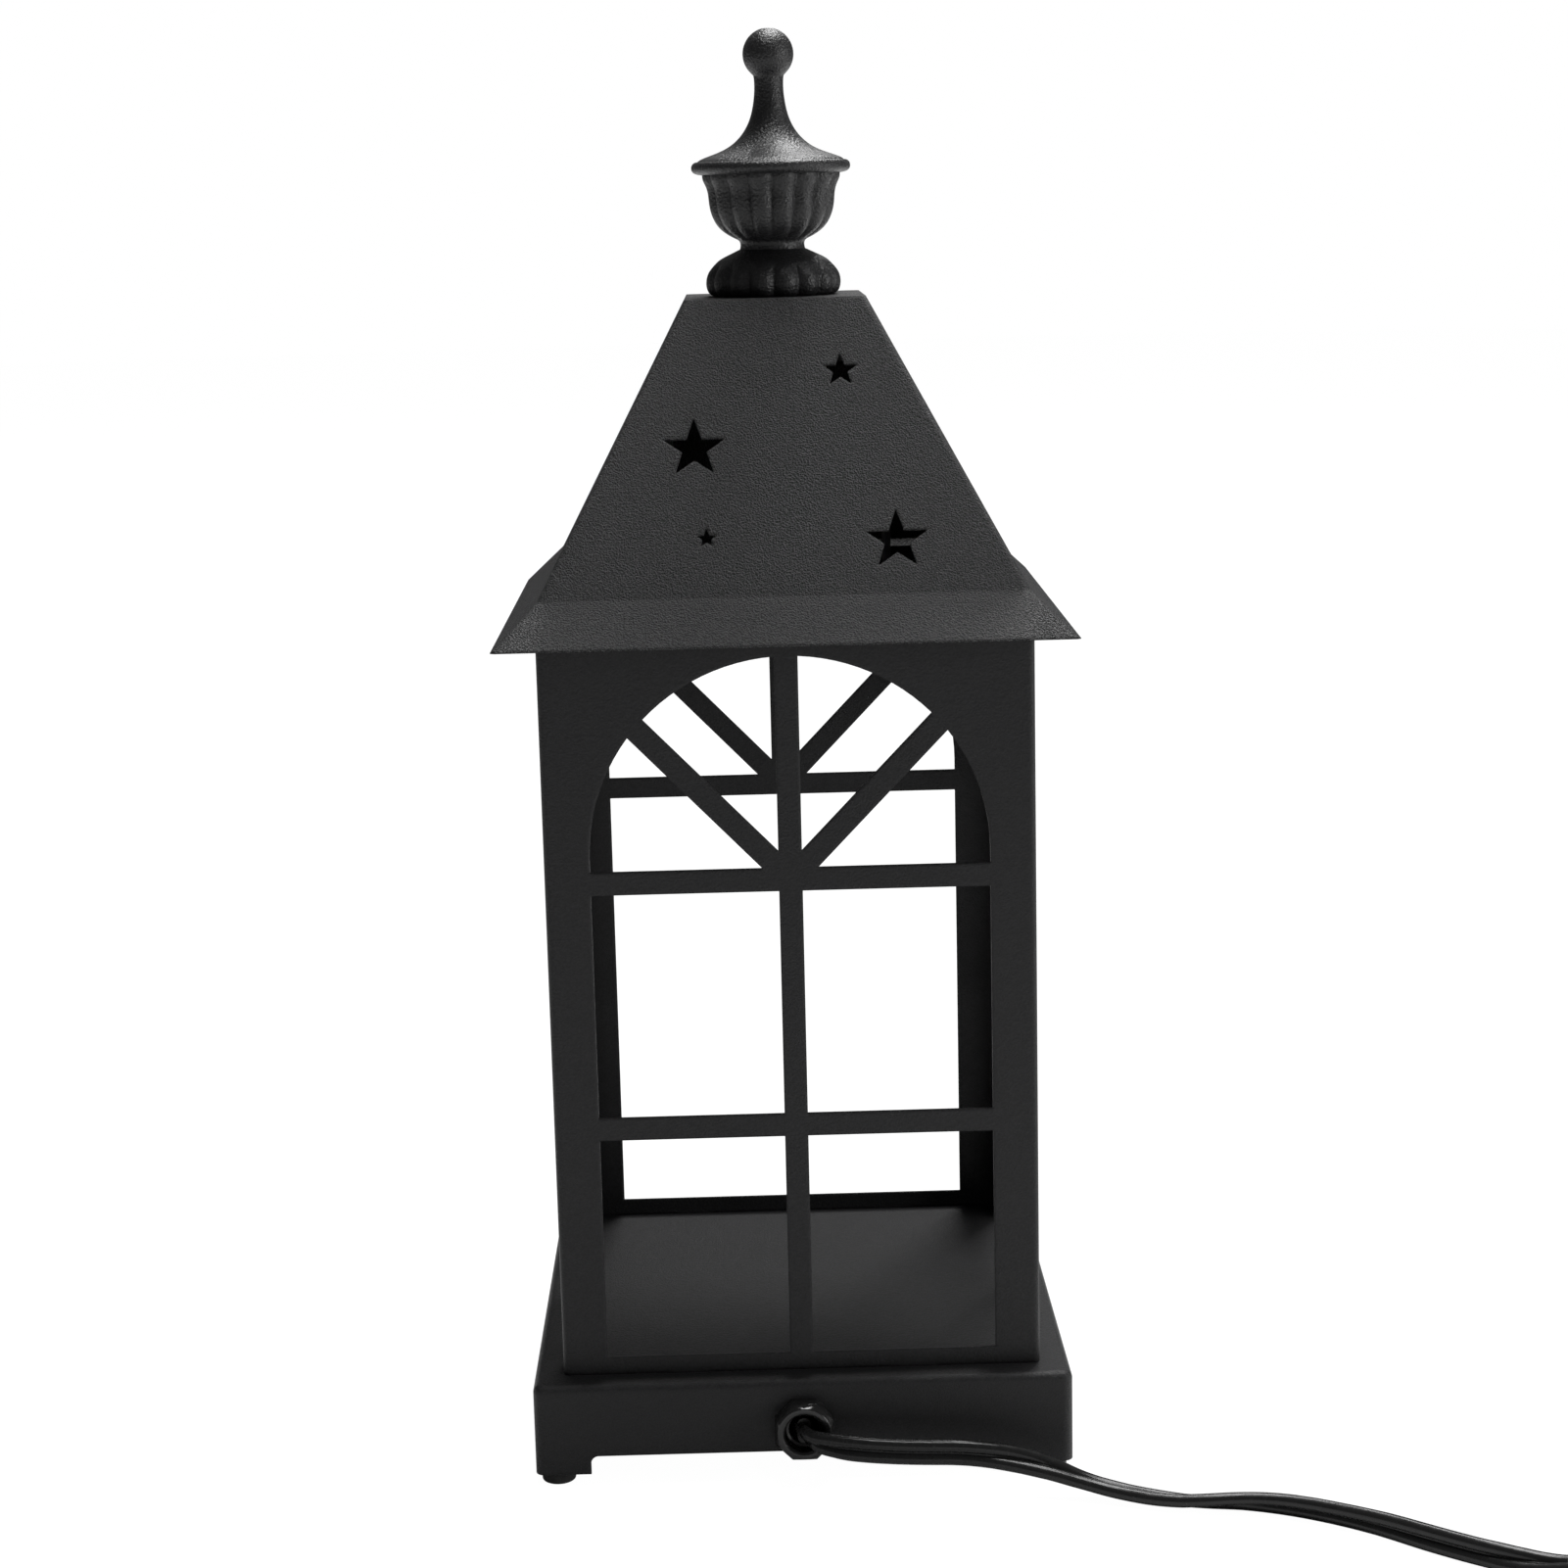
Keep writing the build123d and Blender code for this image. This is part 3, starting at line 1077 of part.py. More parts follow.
BOARD_X = DIMMER_X - WHEEL_R - BOARD_FROM_WHEEL - BOARD_L / 2
PARTS_X = BOARD_X + BOARD_L / 4
with BuildPart() as dimmer_board:
    with BuildSketch(Plane.XY.offset(DIMMER_WALL)):
        with Locations((BOARD_X, DIMMER_Y)):
            Rectangle(BOARD_L, BOARD_W)
        with Locations(BOSSES[0]):
            Circle(DIMMER_BOSS_R + FIT, mode=Mode.SUBTRACT)
    extrude(amount=BOARD_T)
save(dimmer_board, "dimmer_board")

BOARD_TOP = DIMMER_WALL + BOARD_T
with BuildPart() as dimmer_triac:
    with BuildSketch(Plane.XY.offset(BOARD_TOP)):
        with Locations((PARTS_X, DIMMER_Y + TRIAC_Y)):
            Rectangle(TRIAC_L, TRIAC_T)
    extrude(amount=PART_H)
save(dimmer_triac, "dimmer_triac")

with BuildPart() as dimmer_capacitor:
    with BuildSketch(Plane.XY.offset(BOARD_TOP)):
        with Locations((PARTS_X, DIMMER_Y + CAPACITOR_Y)):
            Circle(CAPACITOR_R)
    extrude(amount=PART_H)
save(dimmer_capacitor, "dimmer_capacitor")

# ================================================================ coil and plug
with BuildPart() as cord_coil:
    with BuildSketch():
        with Locations((COIL_X, COIL_Y)):
            Circle(COIL_R + COIL_HALF)
            Circle(COIL_R - COIL_HALF, mode=Mode.SUBTRACT)
    extrude(amount=COIL_H)
save(cord_coil, "cord_coil")

cord_plug_tail = tube(PLUG_TAIL, corner_radii(PLUG_TAIL), CORD_W / 2)
save(cord_plug_tail, "cord_plug_tail")

PLUG_TURN = radians(COIL_END)
PLUG_PLANE = Plane(
    origin=past_coil(PLUG_AHEAD, 0.0, PLUG_T / 2),
    x_dir=(-cos(PLUG_TURN), -sin(PLUG_TURN), 0),
    z_dir=(-sin(PLUG_TURN), cos(PLUG_TURN), 0),
)
with BuildPart() as plug_body:
    with BuildSketch(PLUG_PLANE):
        RectangleRounded(CORD_W + 2 * PLUG_NECK_WALL, CORD_T + 2 * PLUG_NECK_WALL, CORD_T / 2)
    with BuildSketch(PLUG_PLANE.offset(PLUG_NECK_L)):
        RectangleRounded(PLUG_W, PLUG_T, PLUG_EDGE_R)
    loft()
    with BuildSketch(PLUG_PLANE.offset(PLUG_NECK_L)):
        RectangleRounded(PLUG_W, PLUG_T, PLUG_EDGE_R)
    extrude(amount=PLUG_L - PLUG_NECK_L)
save(plug_body, "plug_body")

with BuildPart() as plug_blades:
    with BuildSketch(PLUG_PLANE.offset(PLUG_L)):
        with GridLocations(BLADE_SPACING, 0, 2, 1):
            Rectangle(BLADE_T, BLADE_W)
    extrude(amount=BLADE_L)
save(plug_blades, "plug_blades")
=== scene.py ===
"""Dresses the candle warmer lantern: its finishes, cords, gland, finial, lamp, dimmer and plug."""

import json
import math

import bmesh
import bpy
from bpy.props import FloatProperty, FloatVectorProperty, IntProperty, PointerProperty
from mathutils import Matrix, Vector


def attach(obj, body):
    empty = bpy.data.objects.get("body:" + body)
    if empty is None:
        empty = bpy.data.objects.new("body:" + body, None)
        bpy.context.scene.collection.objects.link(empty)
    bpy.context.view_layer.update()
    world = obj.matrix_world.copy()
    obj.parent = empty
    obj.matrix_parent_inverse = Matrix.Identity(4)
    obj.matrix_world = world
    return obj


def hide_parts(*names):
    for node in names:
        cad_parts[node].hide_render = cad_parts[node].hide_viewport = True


bl_info = {
    "name": "Candle Warmer Lantern",
    "version": (1, 0, 0),
    "blender": (4, 5, 0),
    "location": "3D View > Sidebar > Lantern",
    "description": "Finishes, cords and fine pieces of a square candle warmer lantern",
    "category": "Object",
}

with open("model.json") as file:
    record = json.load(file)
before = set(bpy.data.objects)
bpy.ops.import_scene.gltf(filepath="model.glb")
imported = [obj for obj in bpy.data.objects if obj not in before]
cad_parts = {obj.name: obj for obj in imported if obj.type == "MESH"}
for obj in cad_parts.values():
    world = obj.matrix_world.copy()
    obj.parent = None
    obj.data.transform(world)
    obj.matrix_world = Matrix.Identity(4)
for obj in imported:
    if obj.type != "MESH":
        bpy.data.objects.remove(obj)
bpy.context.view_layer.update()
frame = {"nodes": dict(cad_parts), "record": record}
# Sizes and places below are in millimetres, and MM turns them into metres.
MM = 0.001
# Heights or radii in metres, and angles in radians, this close to each other are the same.
NEAR = 1e-6
ROUGHLY = 1e-5
SAME_ANGLE = 0.02

# Heights and places that the CAD gives.
ROOF_TOP = 302.5
URN_Z = 314.5
LID_Z = 333.8
GLAND_Z = 15.0
WALL_Y = -70.0
DIMMER_ENDS = (196.0, 260.0)
ENTRY_Z = 8.0

# The coil of cord: its middle and pitches, and the degrees where its turns start and end.
COIL = (250.0, -80.0)
COIL_R = 37.5
COLUMN_PITCH = 4.2
LAYER_PITCH = 6.9
FLOOR_LAYER_Z = 3.4
COIL_TURNS = 6
COIL_START = 8.3
COIL_END = -15.0
LEAVE_R = 41.7
POINTS_PER_TURN = 24
# The column and layer at the start of each turn, from the middle column of the floor's layer.
COIL_COLUMNS = [1, 0, -1, -1, 0, 1, 1]
COIL_LAYERS = [0, 0, 0, 1, 1, 1, 1]
# How a turn steps over to the next column and layer: (share of the turn, share of the step).
COIL_STEP = [(0.75, 0.0), (1.0, 1.0)]

STRAND_R = 1.7
STRAND_STEPS = 12
# Points that the swept line has for each control point.
LAMP_STEPS = 24
PLUG_STEPS = 4
SLEEVE_STEPS = 30
# The cord's centre from the gland to the dimmer.
LAMP_ROUTE = [
    (0.0, -71.5, 14.4),
    (1.2, -76.2, 13.8),
    (6.0, -79.2, 13.6),
    (14.0, -82.0, 13.3),
    (27.0, -82.4, 12.4),
    (43.0, -81.8, 11.7),
    (58.5, -82.6, 8.9),
    (75.0, -86.0, 3.0),
    (93.0, -94.0, 2.2),
    (116.0, -97.0, 2.5),
    (137.0, -108.4, 3.4),
    (157.0, -126.2, 3.4),
    (175.5, -138.8, 3.4),
    (188.5, -143.0, 6.8),
    (206.0, -143.0, ENTRY_Z),
]
# How the flat cord turns about its length: (share of the length, degrees).
LAMP_ROLLS = [
    (0.0, 40.0), (0.08, 0.0), (0.20, 0.0), (0.36, -98.0), (0.40, -101.0), (0.58, -155.0),
    (0.60, -157.0), (0.76, -188.0), (0.78, -189.0), (0.90, -270.0), (1.0, -270.0),
]
# From the dimmer into the coil's lowest outer turn.
PLUG_ROUTE = [
    (250.0, -143.0, ENTRY_Z),
    (265.5, -143.0, ENTRY_Z),
    (283.0, -139.0, 3.8),
    (294.5, -124.0, 3.4),
    (298.0, -105.0, 3.4),
    (295.0, -88.0, 3.4),
]
PLUG_ROLLS = [(0.0, 90.0), (0.02, 90.0), (0.05, 0.0), (0.955, 0.0), (0.98, 90.0), (1.0, 90.0)]
PLUG_HALF_T = 6.5
# From the coil's last turn to the plug beside it: ahead of the coil's end, outwards, height.
TAIL_ROUTE = [
    (9.0, 0.6, 10.6),
    (20.0, 1.8, 9.8),
    (31.0, 1.2, 7.6),
    (41.0, 0.2, PLUG_HALF_T),
    (50.0, 0.0, PLUG_HALF_T),
    (60.0, 0.0, PLUG_HALF_T),
]


# ---------------------------------------------------------------- sizes a user would change
class LanternCordSizes(bpy.types.PropertyGroup):
    width: FloatProperty(
        name="Cord width", description="Width of the flat twin cord", default=0.0068, unit="LENGTH"
    )
    strand: FloatProperty(
        name="Strand", description="Thickness of each of the two strands", default=0.0034, unit="LENGTH"
    )
    web: FloatProperty(
        name="Web", description="Thickness of the web between the strands", default=0.0013,
        unit="LENGTH",
    )


class LanternFinialSizes(bpy.types.PropertyGroup):
    lobes: IntProperty(
        name="Lobes", description="Lobes round the urn and its foot", default=16, min=8, max=24
    )
    groove: FloatProperty(
        name="Groove", description="Depth of the grooves between lobes", default=0.0014, unit="LENGTH"
    )


class LanternPaint(bpy.types.PropertyGroup):
    colour: FloatVectorProperty(
        name="Paint", description="Colour of the powder coat", subtype="COLOR", size=3,
        default=(0.0085, 0.0085, 0.009),
    )
    roughness: FloatProperty(
        name="Roughness", description="Roughness of the powder coat", default=0.5, min=0, max=1
    )
    grain: FloatProperty(
        name="Grain", description="Size of the sandy grain", default=0.00022, unit="LENGTH"
    )


class LanternStage(bpy.types.PropertyGroup):
    lens: FloatProperty(
        name="Lens", description="Focal length on a 36 mm sensor", default=68.2, unit="CAMERA"
    )
    key: FloatProperty(
        name="Key light", description="Power of the overhead softbox", default=49.0, unit="POWER"
    )
    surround: FloatProperty(
        name="Surround", description="Level of the light from all round", default=0.13, min=0
    )


# ---------------------------------------------------------------- modelling helpers
def clear_choice():
    """Leave edit mode and deselect everything."""
    if bpy.context.object and bpy.context.object.mode != "OBJECT":
        bpy.ops.object.mode_set(mode="OBJECT")
    bpy.ops.object.select_all(action="DESELECT")


def choose(piece):
    """Select one piece alone and make it the active one."""
    clear_choice()
    piece.select_set(True)
    bpy.context.view_layer.objects.active = piece


def shape(piece):
    """Enter edit mode on one piece with nothing selected."""
    choose(piece)
    bpy.ops.object.mode_set(mode="EDIT")
    bpy.ops.mesh.select_mode(type="VERT")
    bpy.ops.mesh.select_all(action="DESELECT")


def pick(piece, test, kind="verts"):
    """Select the vertices or edges that pass a test, in edit mode."""
    mesh = bmesh.from_edit_mesh(piece.data)
    bpy.ops.mesh.select_all(action="DESELECT")
    for item in getattr(mesh, kind):
        if test(item):
            item.select_set(True)
    mesh.select_flush_mode()
    bmesh.update_edit_mesh(piece.data)


def add_ring(name, radius, height, sides):
    """A ring of vertices round the upright axis, in millimetres."""
    clear_choice()
    bpy.ops.mesh.primitive_circle_add(vertices=sides, radius=radius * MM, location=(0, 0, height * MM))
    ring = bpy.context.object
    ring.name = name
    ring.data.name = name
    bpy.ops.object.transform_apply(location=True, rotation=True, scale=True)
    return ring


def draw_up(levels):
    """Extrude the selected ring through (wide, thin, height) levels, in millimetres."""
    for (w0, t0, z0), (w1, t1, z1) in zip(levels, levels[1:]):
        bpy.ops.mesh.extrude_region_move(TRANSFORM_OT_translate={"value": (0, 0, (z1 - z0) * MM)})
        bpy.ops.transform.resize(value=(w1 / w0, t1 / t0, 1), center_override=(0, 0, z1 * MM))


def lathe(name, levels, sides, closed=True):
    """A turned piece through (radius, height) levels. Closed, its two end rings are joined."""
    piece = add_ring(name, levels[0][0], levels[0][1], sides)
    shape(piece)
    bpy.ops.mesh.select_all(action="SELECT")
    draw_up([(r, r, z) for r, z in levels])
    if closed:
        ends = [(r * MM, z * MM) for r, z in (levels[0], levels[-1])]

        def at_ends(v):
            return any(
                abs(v.co.z - z) < NEAR and abs(v.co.xy.length - r) < ROUGHLY for r, z in ends
            )

        pick(piece, at_ends)
        bpy.ops.mesh.select_mode(type="EDGE")
        bpy.ops.mesh.bridge_edge_loops()
    return piece


def close_up(piece):
    """Merge doubles, turn the faces outwards and leave edit mode."""
    if piece.mode != "EDIT":
        shape(piece)
    bpy.ops.mesh.select_mode(type="VERT")
    bpy.ops.mesh.select_all(action="SELECT")
    bpy.ops.mesh.remove_doubles(threshold=NEAR)
    bpy.ops.mesh.normals_make_consistent(inside=False)
    bpy.ops.object.mode_set(mode="OBJECT")


def put(piece, turn, place):
    """Turn a piece that was made upright at the origin, and move it, in millimetres."""
    choose(piece)
    piece.matrix_world = Matrix.Translation(Vector(place) * MM) @ turn.to_4x4()
    bpy.ops.object.transform_apply(location=True, rotation=True, scale=True)


def soften(piece, width, segments, degrees=30):
    """Round the edges sharper than an angle, by a width in millimetres."""
    apply_modifier(
        piece, "BEVEL", width=width * MM, segments=segments, limit_method="ANGLE",
        angle_limit=math.radians(degrees),
    )


def apply_modifier(piece, kind, **settings):
    """Add a modifier, set it and apply it."""
    choose(piece)
    bpy.ops.object.modifier_add(type=kind)
    modifier = piece.modifiers[-1]
    for key, value in settings.items():
        setattr(modifier, key, value)
    bpy.ops.object.modifier_apply(modifier=modifier.name)


def subdivide(piece, levels):
    """Smooth a piece by Catmull-Clark subdivision."""
    apply_modifier(piece, "SUBSURF", levels=levels, render_levels=levels)


def smooth(piece, degrees):
    """Smooth shading except across edges sharper than an angle."""
    choose(piece)
    bpy.ops.object.shade_smooth_by_angle(angle=math.radians(degrees))


def settle(piece, finish, body="lantern", nodes=()):
    """Give a piece its finish and body, and hide the CAD nodes that it stands for."""
    piece.data.materials.clear()
    piece.data.materials.append(finish)
    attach(piece, body)
    if nodes:
        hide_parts(*nodes)


# ---------------------------------------------------------------- finishes
class Finish:
    """A node material with its Principled shader at hand."""

    def __init__(self, name, colour, roughness, metallic=0.0, specular=0.5):
        self.material = bpy.data.materials.new(name)
        self.material.use_nodes = True
        self.nodes = self.material.node_tree.nodes
        self.shader = self.nodes["Principled BSDF"]
        self.shader.inputs["Base Color"].default_value = (*colour, 1.0)
        self.shader.inputs["Roughness"].default_value = roughness
        self.shader.inputs["Metallic"].default_value = metallic
        self.shader.inputs["Specular IOR Level"].default_value = specular
        self.place = self.nodes.new("ShaderNodeTexCoord").outputs["Object"]

    def node(self, kind, links=None, values=None, **settings):
        """Add a node, wire its inputs and set its values."""
        node = self.nodes.new(kind)
        for key, value in settings.items():
            setattr(node, key, value)
        for key, value in (values or {}).items():
            node.inputs[key].default_value = value
        for key, source in (links or {}).items():
            self.material.node_tree.links.new(source, node.inputs[key])
        return node

    def wire(self, source, socket):
        """Wire an output to a socket of the shader."""
        self.material.node_tree.links.new(source, self.shader.inputs[socket])

    def noise(self, size, detail=2.0, roughness=0.5):
        """Noise whose grains are about that many metres across."""
        values = {"Scale": 0.5 / size, "Detail": detail, "Roughness": roughness}
        return self.node("ShaderNodeTexNoise", {"Vector": self.place}, values).outputs["Fac"]

    def remap(self, source, low, high, start=0.3, end=0.7):
        """Stretch a value's start-to-end range to low-to-high."""
        values = {"From Min": start, "From Max": end, "To Min": low, "To Max": high}
        return self.node("ShaderNodeMapRange", {"Value": source}, values).outputs["Result"]

    def shade(self, share, low, high):
        """Run the base colour from low to high along a share from 0 to 1."""
        mix = self.node("ShaderNodeMix", {"Factor": share}, data_type="RGBA")
        start, end = [s for s in mix.inputs if s.type == "RGBA"]
        start.default_value = (*low, 1.0)
        end.default_value = (*high, 1.0)
        self.wire(next(s for s in mix.outputs if s.type == "RGBA"), "Base Color")

    def bump(self, height, distance, strength=1.0, under=None):
        """Raise the surface by a height pattern, over another bump if one is given."""
        links = {"Height": height}
        if under is not None:
            links["Normal"] = under
        node = self.node("ShaderNodeBump", links, {"Distance": distance, "Strength": strength})
        self.wire(node.outputs["Normal"], "Normal")
        return node.outputs["Normal"]


def powder_coat(name, sand):
    """Satin black powder coat; sand is how rough its fine grain stands."""
    paint = bpy.context.scene.lantern_paint
    coat = Finish(name, paint.colour, paint.roughness, specular=0.24)
    grain = coat.noise(paint.grain, 2.0, 0.55)
    ripple = coat.noise(paint.grain * 14, 1.0)
    dark, light = [[(1 + swing * sand) * c for c in paint.colour] for swing in (-0.4, 0.6)]
    coat.shade(coat.remap(grain, 0.0, 1.0, 0.38, 0.68), dark, light)
    rough, sleek = paint.roughness + 0.1 * sand, paint.roughness - 0.12 * sand
    coat.wire(coat.remap(grain, rough, sleek), "Roughness")
    rounded = coat.node("ShaderNodeBevel", values={"Radius": 0.0012}, samples=4).outputs["Normal"]
    broad = coat.bump(ripple, 0.00008 * sand, 0.5, rounded)
    coat.bump(grain, 0.00045 * sand, 1.0, broad)
    return coat.material


def casting_paint():
    """Glossier black paint of the cast finial."""
    paint = bpy.context.scene.lantern_paint
    coat = Finish("black casting paint", paint.colour, 0.44, specular=0.34)
    grain = coat.noise(0.00035, 2.0)
    coat.wire(coat.remap(grain, 0.52, 0.32), "Roughness")
    coat.bump(grain, 0.00035, 1.0)
    return coat.material


def zinc_steel():
    """Black zinc plating with faint clouds."""
    metal = Finish("black zinc plated steel", (0.1, 0.1, 0.1), 0.38, 1.0)
    cloud = metal.noise(0.004, 3.0)
    metal.shade(metal.remap(cloud, 0.0, 1.0), (0.08, 0.08, 0.085), (0.13, 0.13, 0.125))
    metal.wire(metal.remap(cloud, 0.32, 0.46), "Roughness")
    metal.bump(metal.noise(0.0003, 2.0), 0.00002, 0.4)
    return metal.material


def rubber(name):
    """Dull black rubber with a fine speckle."""
    soft = Finish(name, (0.018, 0.018, 0.018), 0.78, specular=0.3)
    speck = soft.noise(0.0005, 3.0)
    soft.wire(soft.remap(speck, 0.7, 0.88), "Roughness")
    soft.bump(speck, 0.00004, 0.6)
    return soft.material


def white_ceramic():
    """Glazed off-white ceramic of the lamp's base and holder."""
    body = Finish("white ceramic", (0.78, 0.76, 0.7), 0.32)
    speck = body.noise(0.0014, 4.0, 0.6)
    body.shade(body.remap(speck, 0.0, 1.0, 0.35, 0.5), (0.66, 0.63, 0.55), (0.8, 0.78, 0.73))
    body.wire(body.remap(speck, 0.4, 0.28), "Roughness")
    body.bump(speck, 0.00004, 0.4)
    return body.material


def plated(name, low, high, roughness):
    """Brass or nickel with faint clouding and wiping marks."""
    metal = Finish(name, low, roughness, 1.0)
    cloud = metal.noise(0.003, 3.0)
    metal.shade(metal.remap(cloud, 0.0, 1.0), low, high)
    metal.wire(metal.remap(cloud, roughness - 0.06, roughness + 0.08), "Roughness")
    metal.bump(metal.noise(0.0004, 2.0), 0.00001, 0.4)
    return metal.material


def lamp_glass():
    """Clear pressed glass of the lamp."""
    glass = Finish("lamp glass", (0.97, 0.98, 0.98), 0.03)
    glass.shader.inputs["Transmission Weight"].default_value = 1.0
    glass.shader.inputs["IOR"].default_value = 1.5
    glass.bump(glass.noise(0.003, 1.0), 0.00005, 0.3)
    return glass.material


def mirror_coat():
    """Vacuum-coated aluminium inside the reflector."""
    mirror = Finish("reflector coat", (0.86, 0.86, 0.84), 0.08, 1.0)
    haze = mirror.noise(0.002, 2.0)
    mirror.wire(mirror.remap(haze, 0.05, 0.14), "Roughness")
    return mirror.material


def moulded_black(name, roughness, texture, specular):
    """Black moulded plastic with a fine spark-eroded texture."""
    plastic = Finish(name, (0.01, 0.01, 0.01), roughness, specular=specular)
    speck = plastic.noise(texture, 2.0)
    plastic.wire(plastic.remap(speck, roughness - 0.05, roughness + 0.07), "Roughness")
    plastic.bump(speck, texture / 12, 0.4)
    return plastic.material


def grey_plastic():
    """Grey plastic of the crimp connectors."""
    plastic = Finish("connector plastic", (0.36, 0.37, 0.38), 0.4)
    speck = plastic.noise(0.0006, 2.0)
    plastic.wire(plastic.remap(speck, 0.34, 0.48), "Roughness")
    plastic.bump(speck, 0.00004, 0.4)
    return plastic.material


def woven_sleeve():
    """White glass-fibre sleeve with a diagonal braid."""
    sleeve = Finish("woven sleeve", (0.8, 0.78, 0.72), 0.75, specular=0.25)
    heights = []
    for turn in (0.7, -0.7):
        tilt = sleeve.node("ShaderNodeMapping", {"Vector": sleeve.place}, {"Rotation": (turn,) * 3})
        wave = sleeve.node(
            "ShaderNodeTexWave", {"Vector": tilt.outputs["Vector"]}, {"Scale": 420.0, "Distortion": 0.6}
        )
        heights.append(wave.outputs["Fac"])
    braid = sleeve.node("ShaderNodeMath", operation="MAXIMUM")
    for k, height in enumerate(heights):
        sleeve.material.node_tree.links.new(height, braid.inputs[k])
    sleeve.shade(braid.outputs["Value"], (0.55, 0.52, 0.45), (0.84, 0.82, 0.77))
    sleeve.bump(braid.outputs["Value"], 0.0002, 0.7)
    return sleeve.material


def circuit_board():
    """Green board of the dimmer with paler tracks."""
    board = Finish("circuit board", (0.03, 0.16, 0.06), 0.35)
    track = board.node(
        "ShaderNodeTexBrick", {"Vector": board.place}, {"Scale": 160.0, "Mortar Size": 0.03}, offset=0.3
    )
    board.shade(track.outputs["Fac"], (0.02, 0.12, 0.05), (0.05, 0.26, 0.1))
    board.bump(track.outputs["Fac"], 0.00005, 0.4)
    return board.material


FINISHES = {}


class LANTERN_OT_finishes(bpy.types.Operator):
    """Make every finish and give each CAD node its own"""

    bl_idname = "lantern.finishes"
    bl_label = "Finishes"

    def execute(self, context):
        FINISHES.update(
            black_sheet=powder_coat("black powder coat", sand=0.45),
            sandy_sheet=powder_coat("sandy black powder coat", sand=1.25),
            black_casting=casting_paint(),
            zinc_steel=zinc_steel(),
            foot_rubber=rubber("foot rubber"),
            grommet_rubber=rubber("grommet rubber"),
            white_ceramic=white_ceramic(),
            contact_brass=plated("contact brass", (0.72, 0.5, 0.2), (0.82, 0.62, 0.3), roughness=0.26),
            bulb_glass=lamp_glass(),
            pin_nickel=plated("pin nickel", (0.58, 0.56, 0.52), (0.68, 0.66, 0.62), roughness=0.24),
            black_plastic=moulded_black("black moulded plastic", 0.3, texture=0.0005, specular=0.4),
            gland_nylon=moulded_black("gland nylon", 0.16, texture=0.0009, specular=0.36),
            cord_black=moulded_black("black cord jacket", 0.24, texture=0.0012, specular=0.2),
            grey_plastic=grey_plastic(),
            sleeve_white=woven_sleeve(),
            board_green=circuit_board(),
            reflector_coat=mirror_coat(),
        )
        slots = {part["node"]: part["material_slot"] for part in frame["record"]["subparts"]}
        for name, node in frame["nodes"].items():
            if slots[name] not in FINISHES:
                raise RuntimeError(f"no finish for slot {slots[name]} of {name}")
            # The roof's coat stands rougher than that of the other sheets.
            finish = "sandy_sheet" if name == "roof_shell" else slots[name]
            node.data.materials.clear()
            node.data.materials.append(FINISHES[finish])
        return {"FINISHED"}


# ---------------------------------------------------------------- cords
def followed(points, resolution, name):
    """The points of a smooth NURBS line through a cord's control points."""
    curve = bpy.data.curves.new(name, "CURVE")
    curve.dimensions = "3D"
    curve.resolution_u = resolution
    spline = curve.splines.new("NURBS")
    spline.points.add(len(points) - 1)
    for spot, place in zip(spline.points, points):
        spot.co = (place[0] * MM, place[1] * MM, place[2] * MM, 1.0)
    spline.order_u = 3
    spline.use_endpoint_u = True
    holder = bpy.data.objects.new(name, curve)
    line = bpy.data.meshes.new_from_object(holder)
    spots = [v.co.copy() for v in line.vertices]
    bpy.data.objects.remove(holder)
    bpy.data.curves.remove(curve)
    bpy.data.meshes.remove(line)
    return spots


def along(values, share):
    """A smooth value between (share, value) stations."""
    for (s0, v0), (s1, v1) in zip(values, values[1:]):
        if share <= s1:
            t = min(max((share - s0) / (s1 - s0), 0.0), 1.0)
            return v0 + (v1 - v0) * t * t * (3 - 2 * t)
    return values[-1][1]


def frames(spots, rolls):
    """Place, wide direction and thin direction of a flat cord at each point.

    rolls are (share of the length, degrees) stations: 0 stands the strands one over
    the other, and 90 lays them side by side. Points too low for that are lifted."""
    lengths = [0.0]
    for a, b in zip(spots, spots[1:]):
        lengths.append(lengths[-1] + (b - a).length)
    result = []
    for k, spot in enumerate(spots):
        ahead = (spots[min(k + 1, len(spots) - 1)] - spots[max(k - 1, 0)]).normalized()
        up = (Vector((0, 0, 1)) - ahead * ahead.z).normalized()
        side = ahead.cross(up)
        roll = math.radians(along(rolls, lengths[k] / lengths[-1]))
        spot.z = max(spot.z, STRAND_R * MM * (1 + abs(math.cos(roll))))
        wide = up * math.cos(roll) + side * math.sin(roll)
        result.append((spot, wide, ahead.cross(wide)))
    return result


def twin_section(sizes):
    """The outline of two strands and the web between them, as (wide, thin) offsets."""
    radius, half = sizes.strand / 2, sizes.web / 2
    centre = sizes.width / 2 - radius
    start = math.asin(half / radius)
    outline = []
    for side in (1, -1):
        for k in range(STRAND_STEPS + 1):
            a = math.pi - start - (2 * math.pi - 2 * start) * k / STRAND_STEPS
            outline.append((side * (centre + radius * math.cos(a)), side * radius * math.sin(a)))
    return outline


def sweep(name, placed, outlines):
    """A closed tube whose ring at each placed frame is an outline of (wide, thin) offsets."""
    mesh = bmesh.new()
    rings = []
    for (spot, wide, thin), outline in zip(placed, outlines):
        rings.append([mesh.verts.new(spot + wide * w + thin * t) for w, t in outline])
    for low, high in zip(rings, rings[1:]):
        for k in range(len(low)):
            j = (k + 1) % len(low)
            mesh.faces.new((low[k], low[j], high[j], high[k]))
    mesh.faces.new(rings[0][::-1])
    mesh.faces.new(rings[-1])
    bmesh.ops.recalc_face_normals(mesh, faces=mesh.faces)
    data = bpy.data.meshes.new(name)
    mesh.to_mesh(data)
    mesh.free()
    piece = bpy.data.objects.new(name, data)
    bpy.context.collection.objects.link(piece)
    return piece


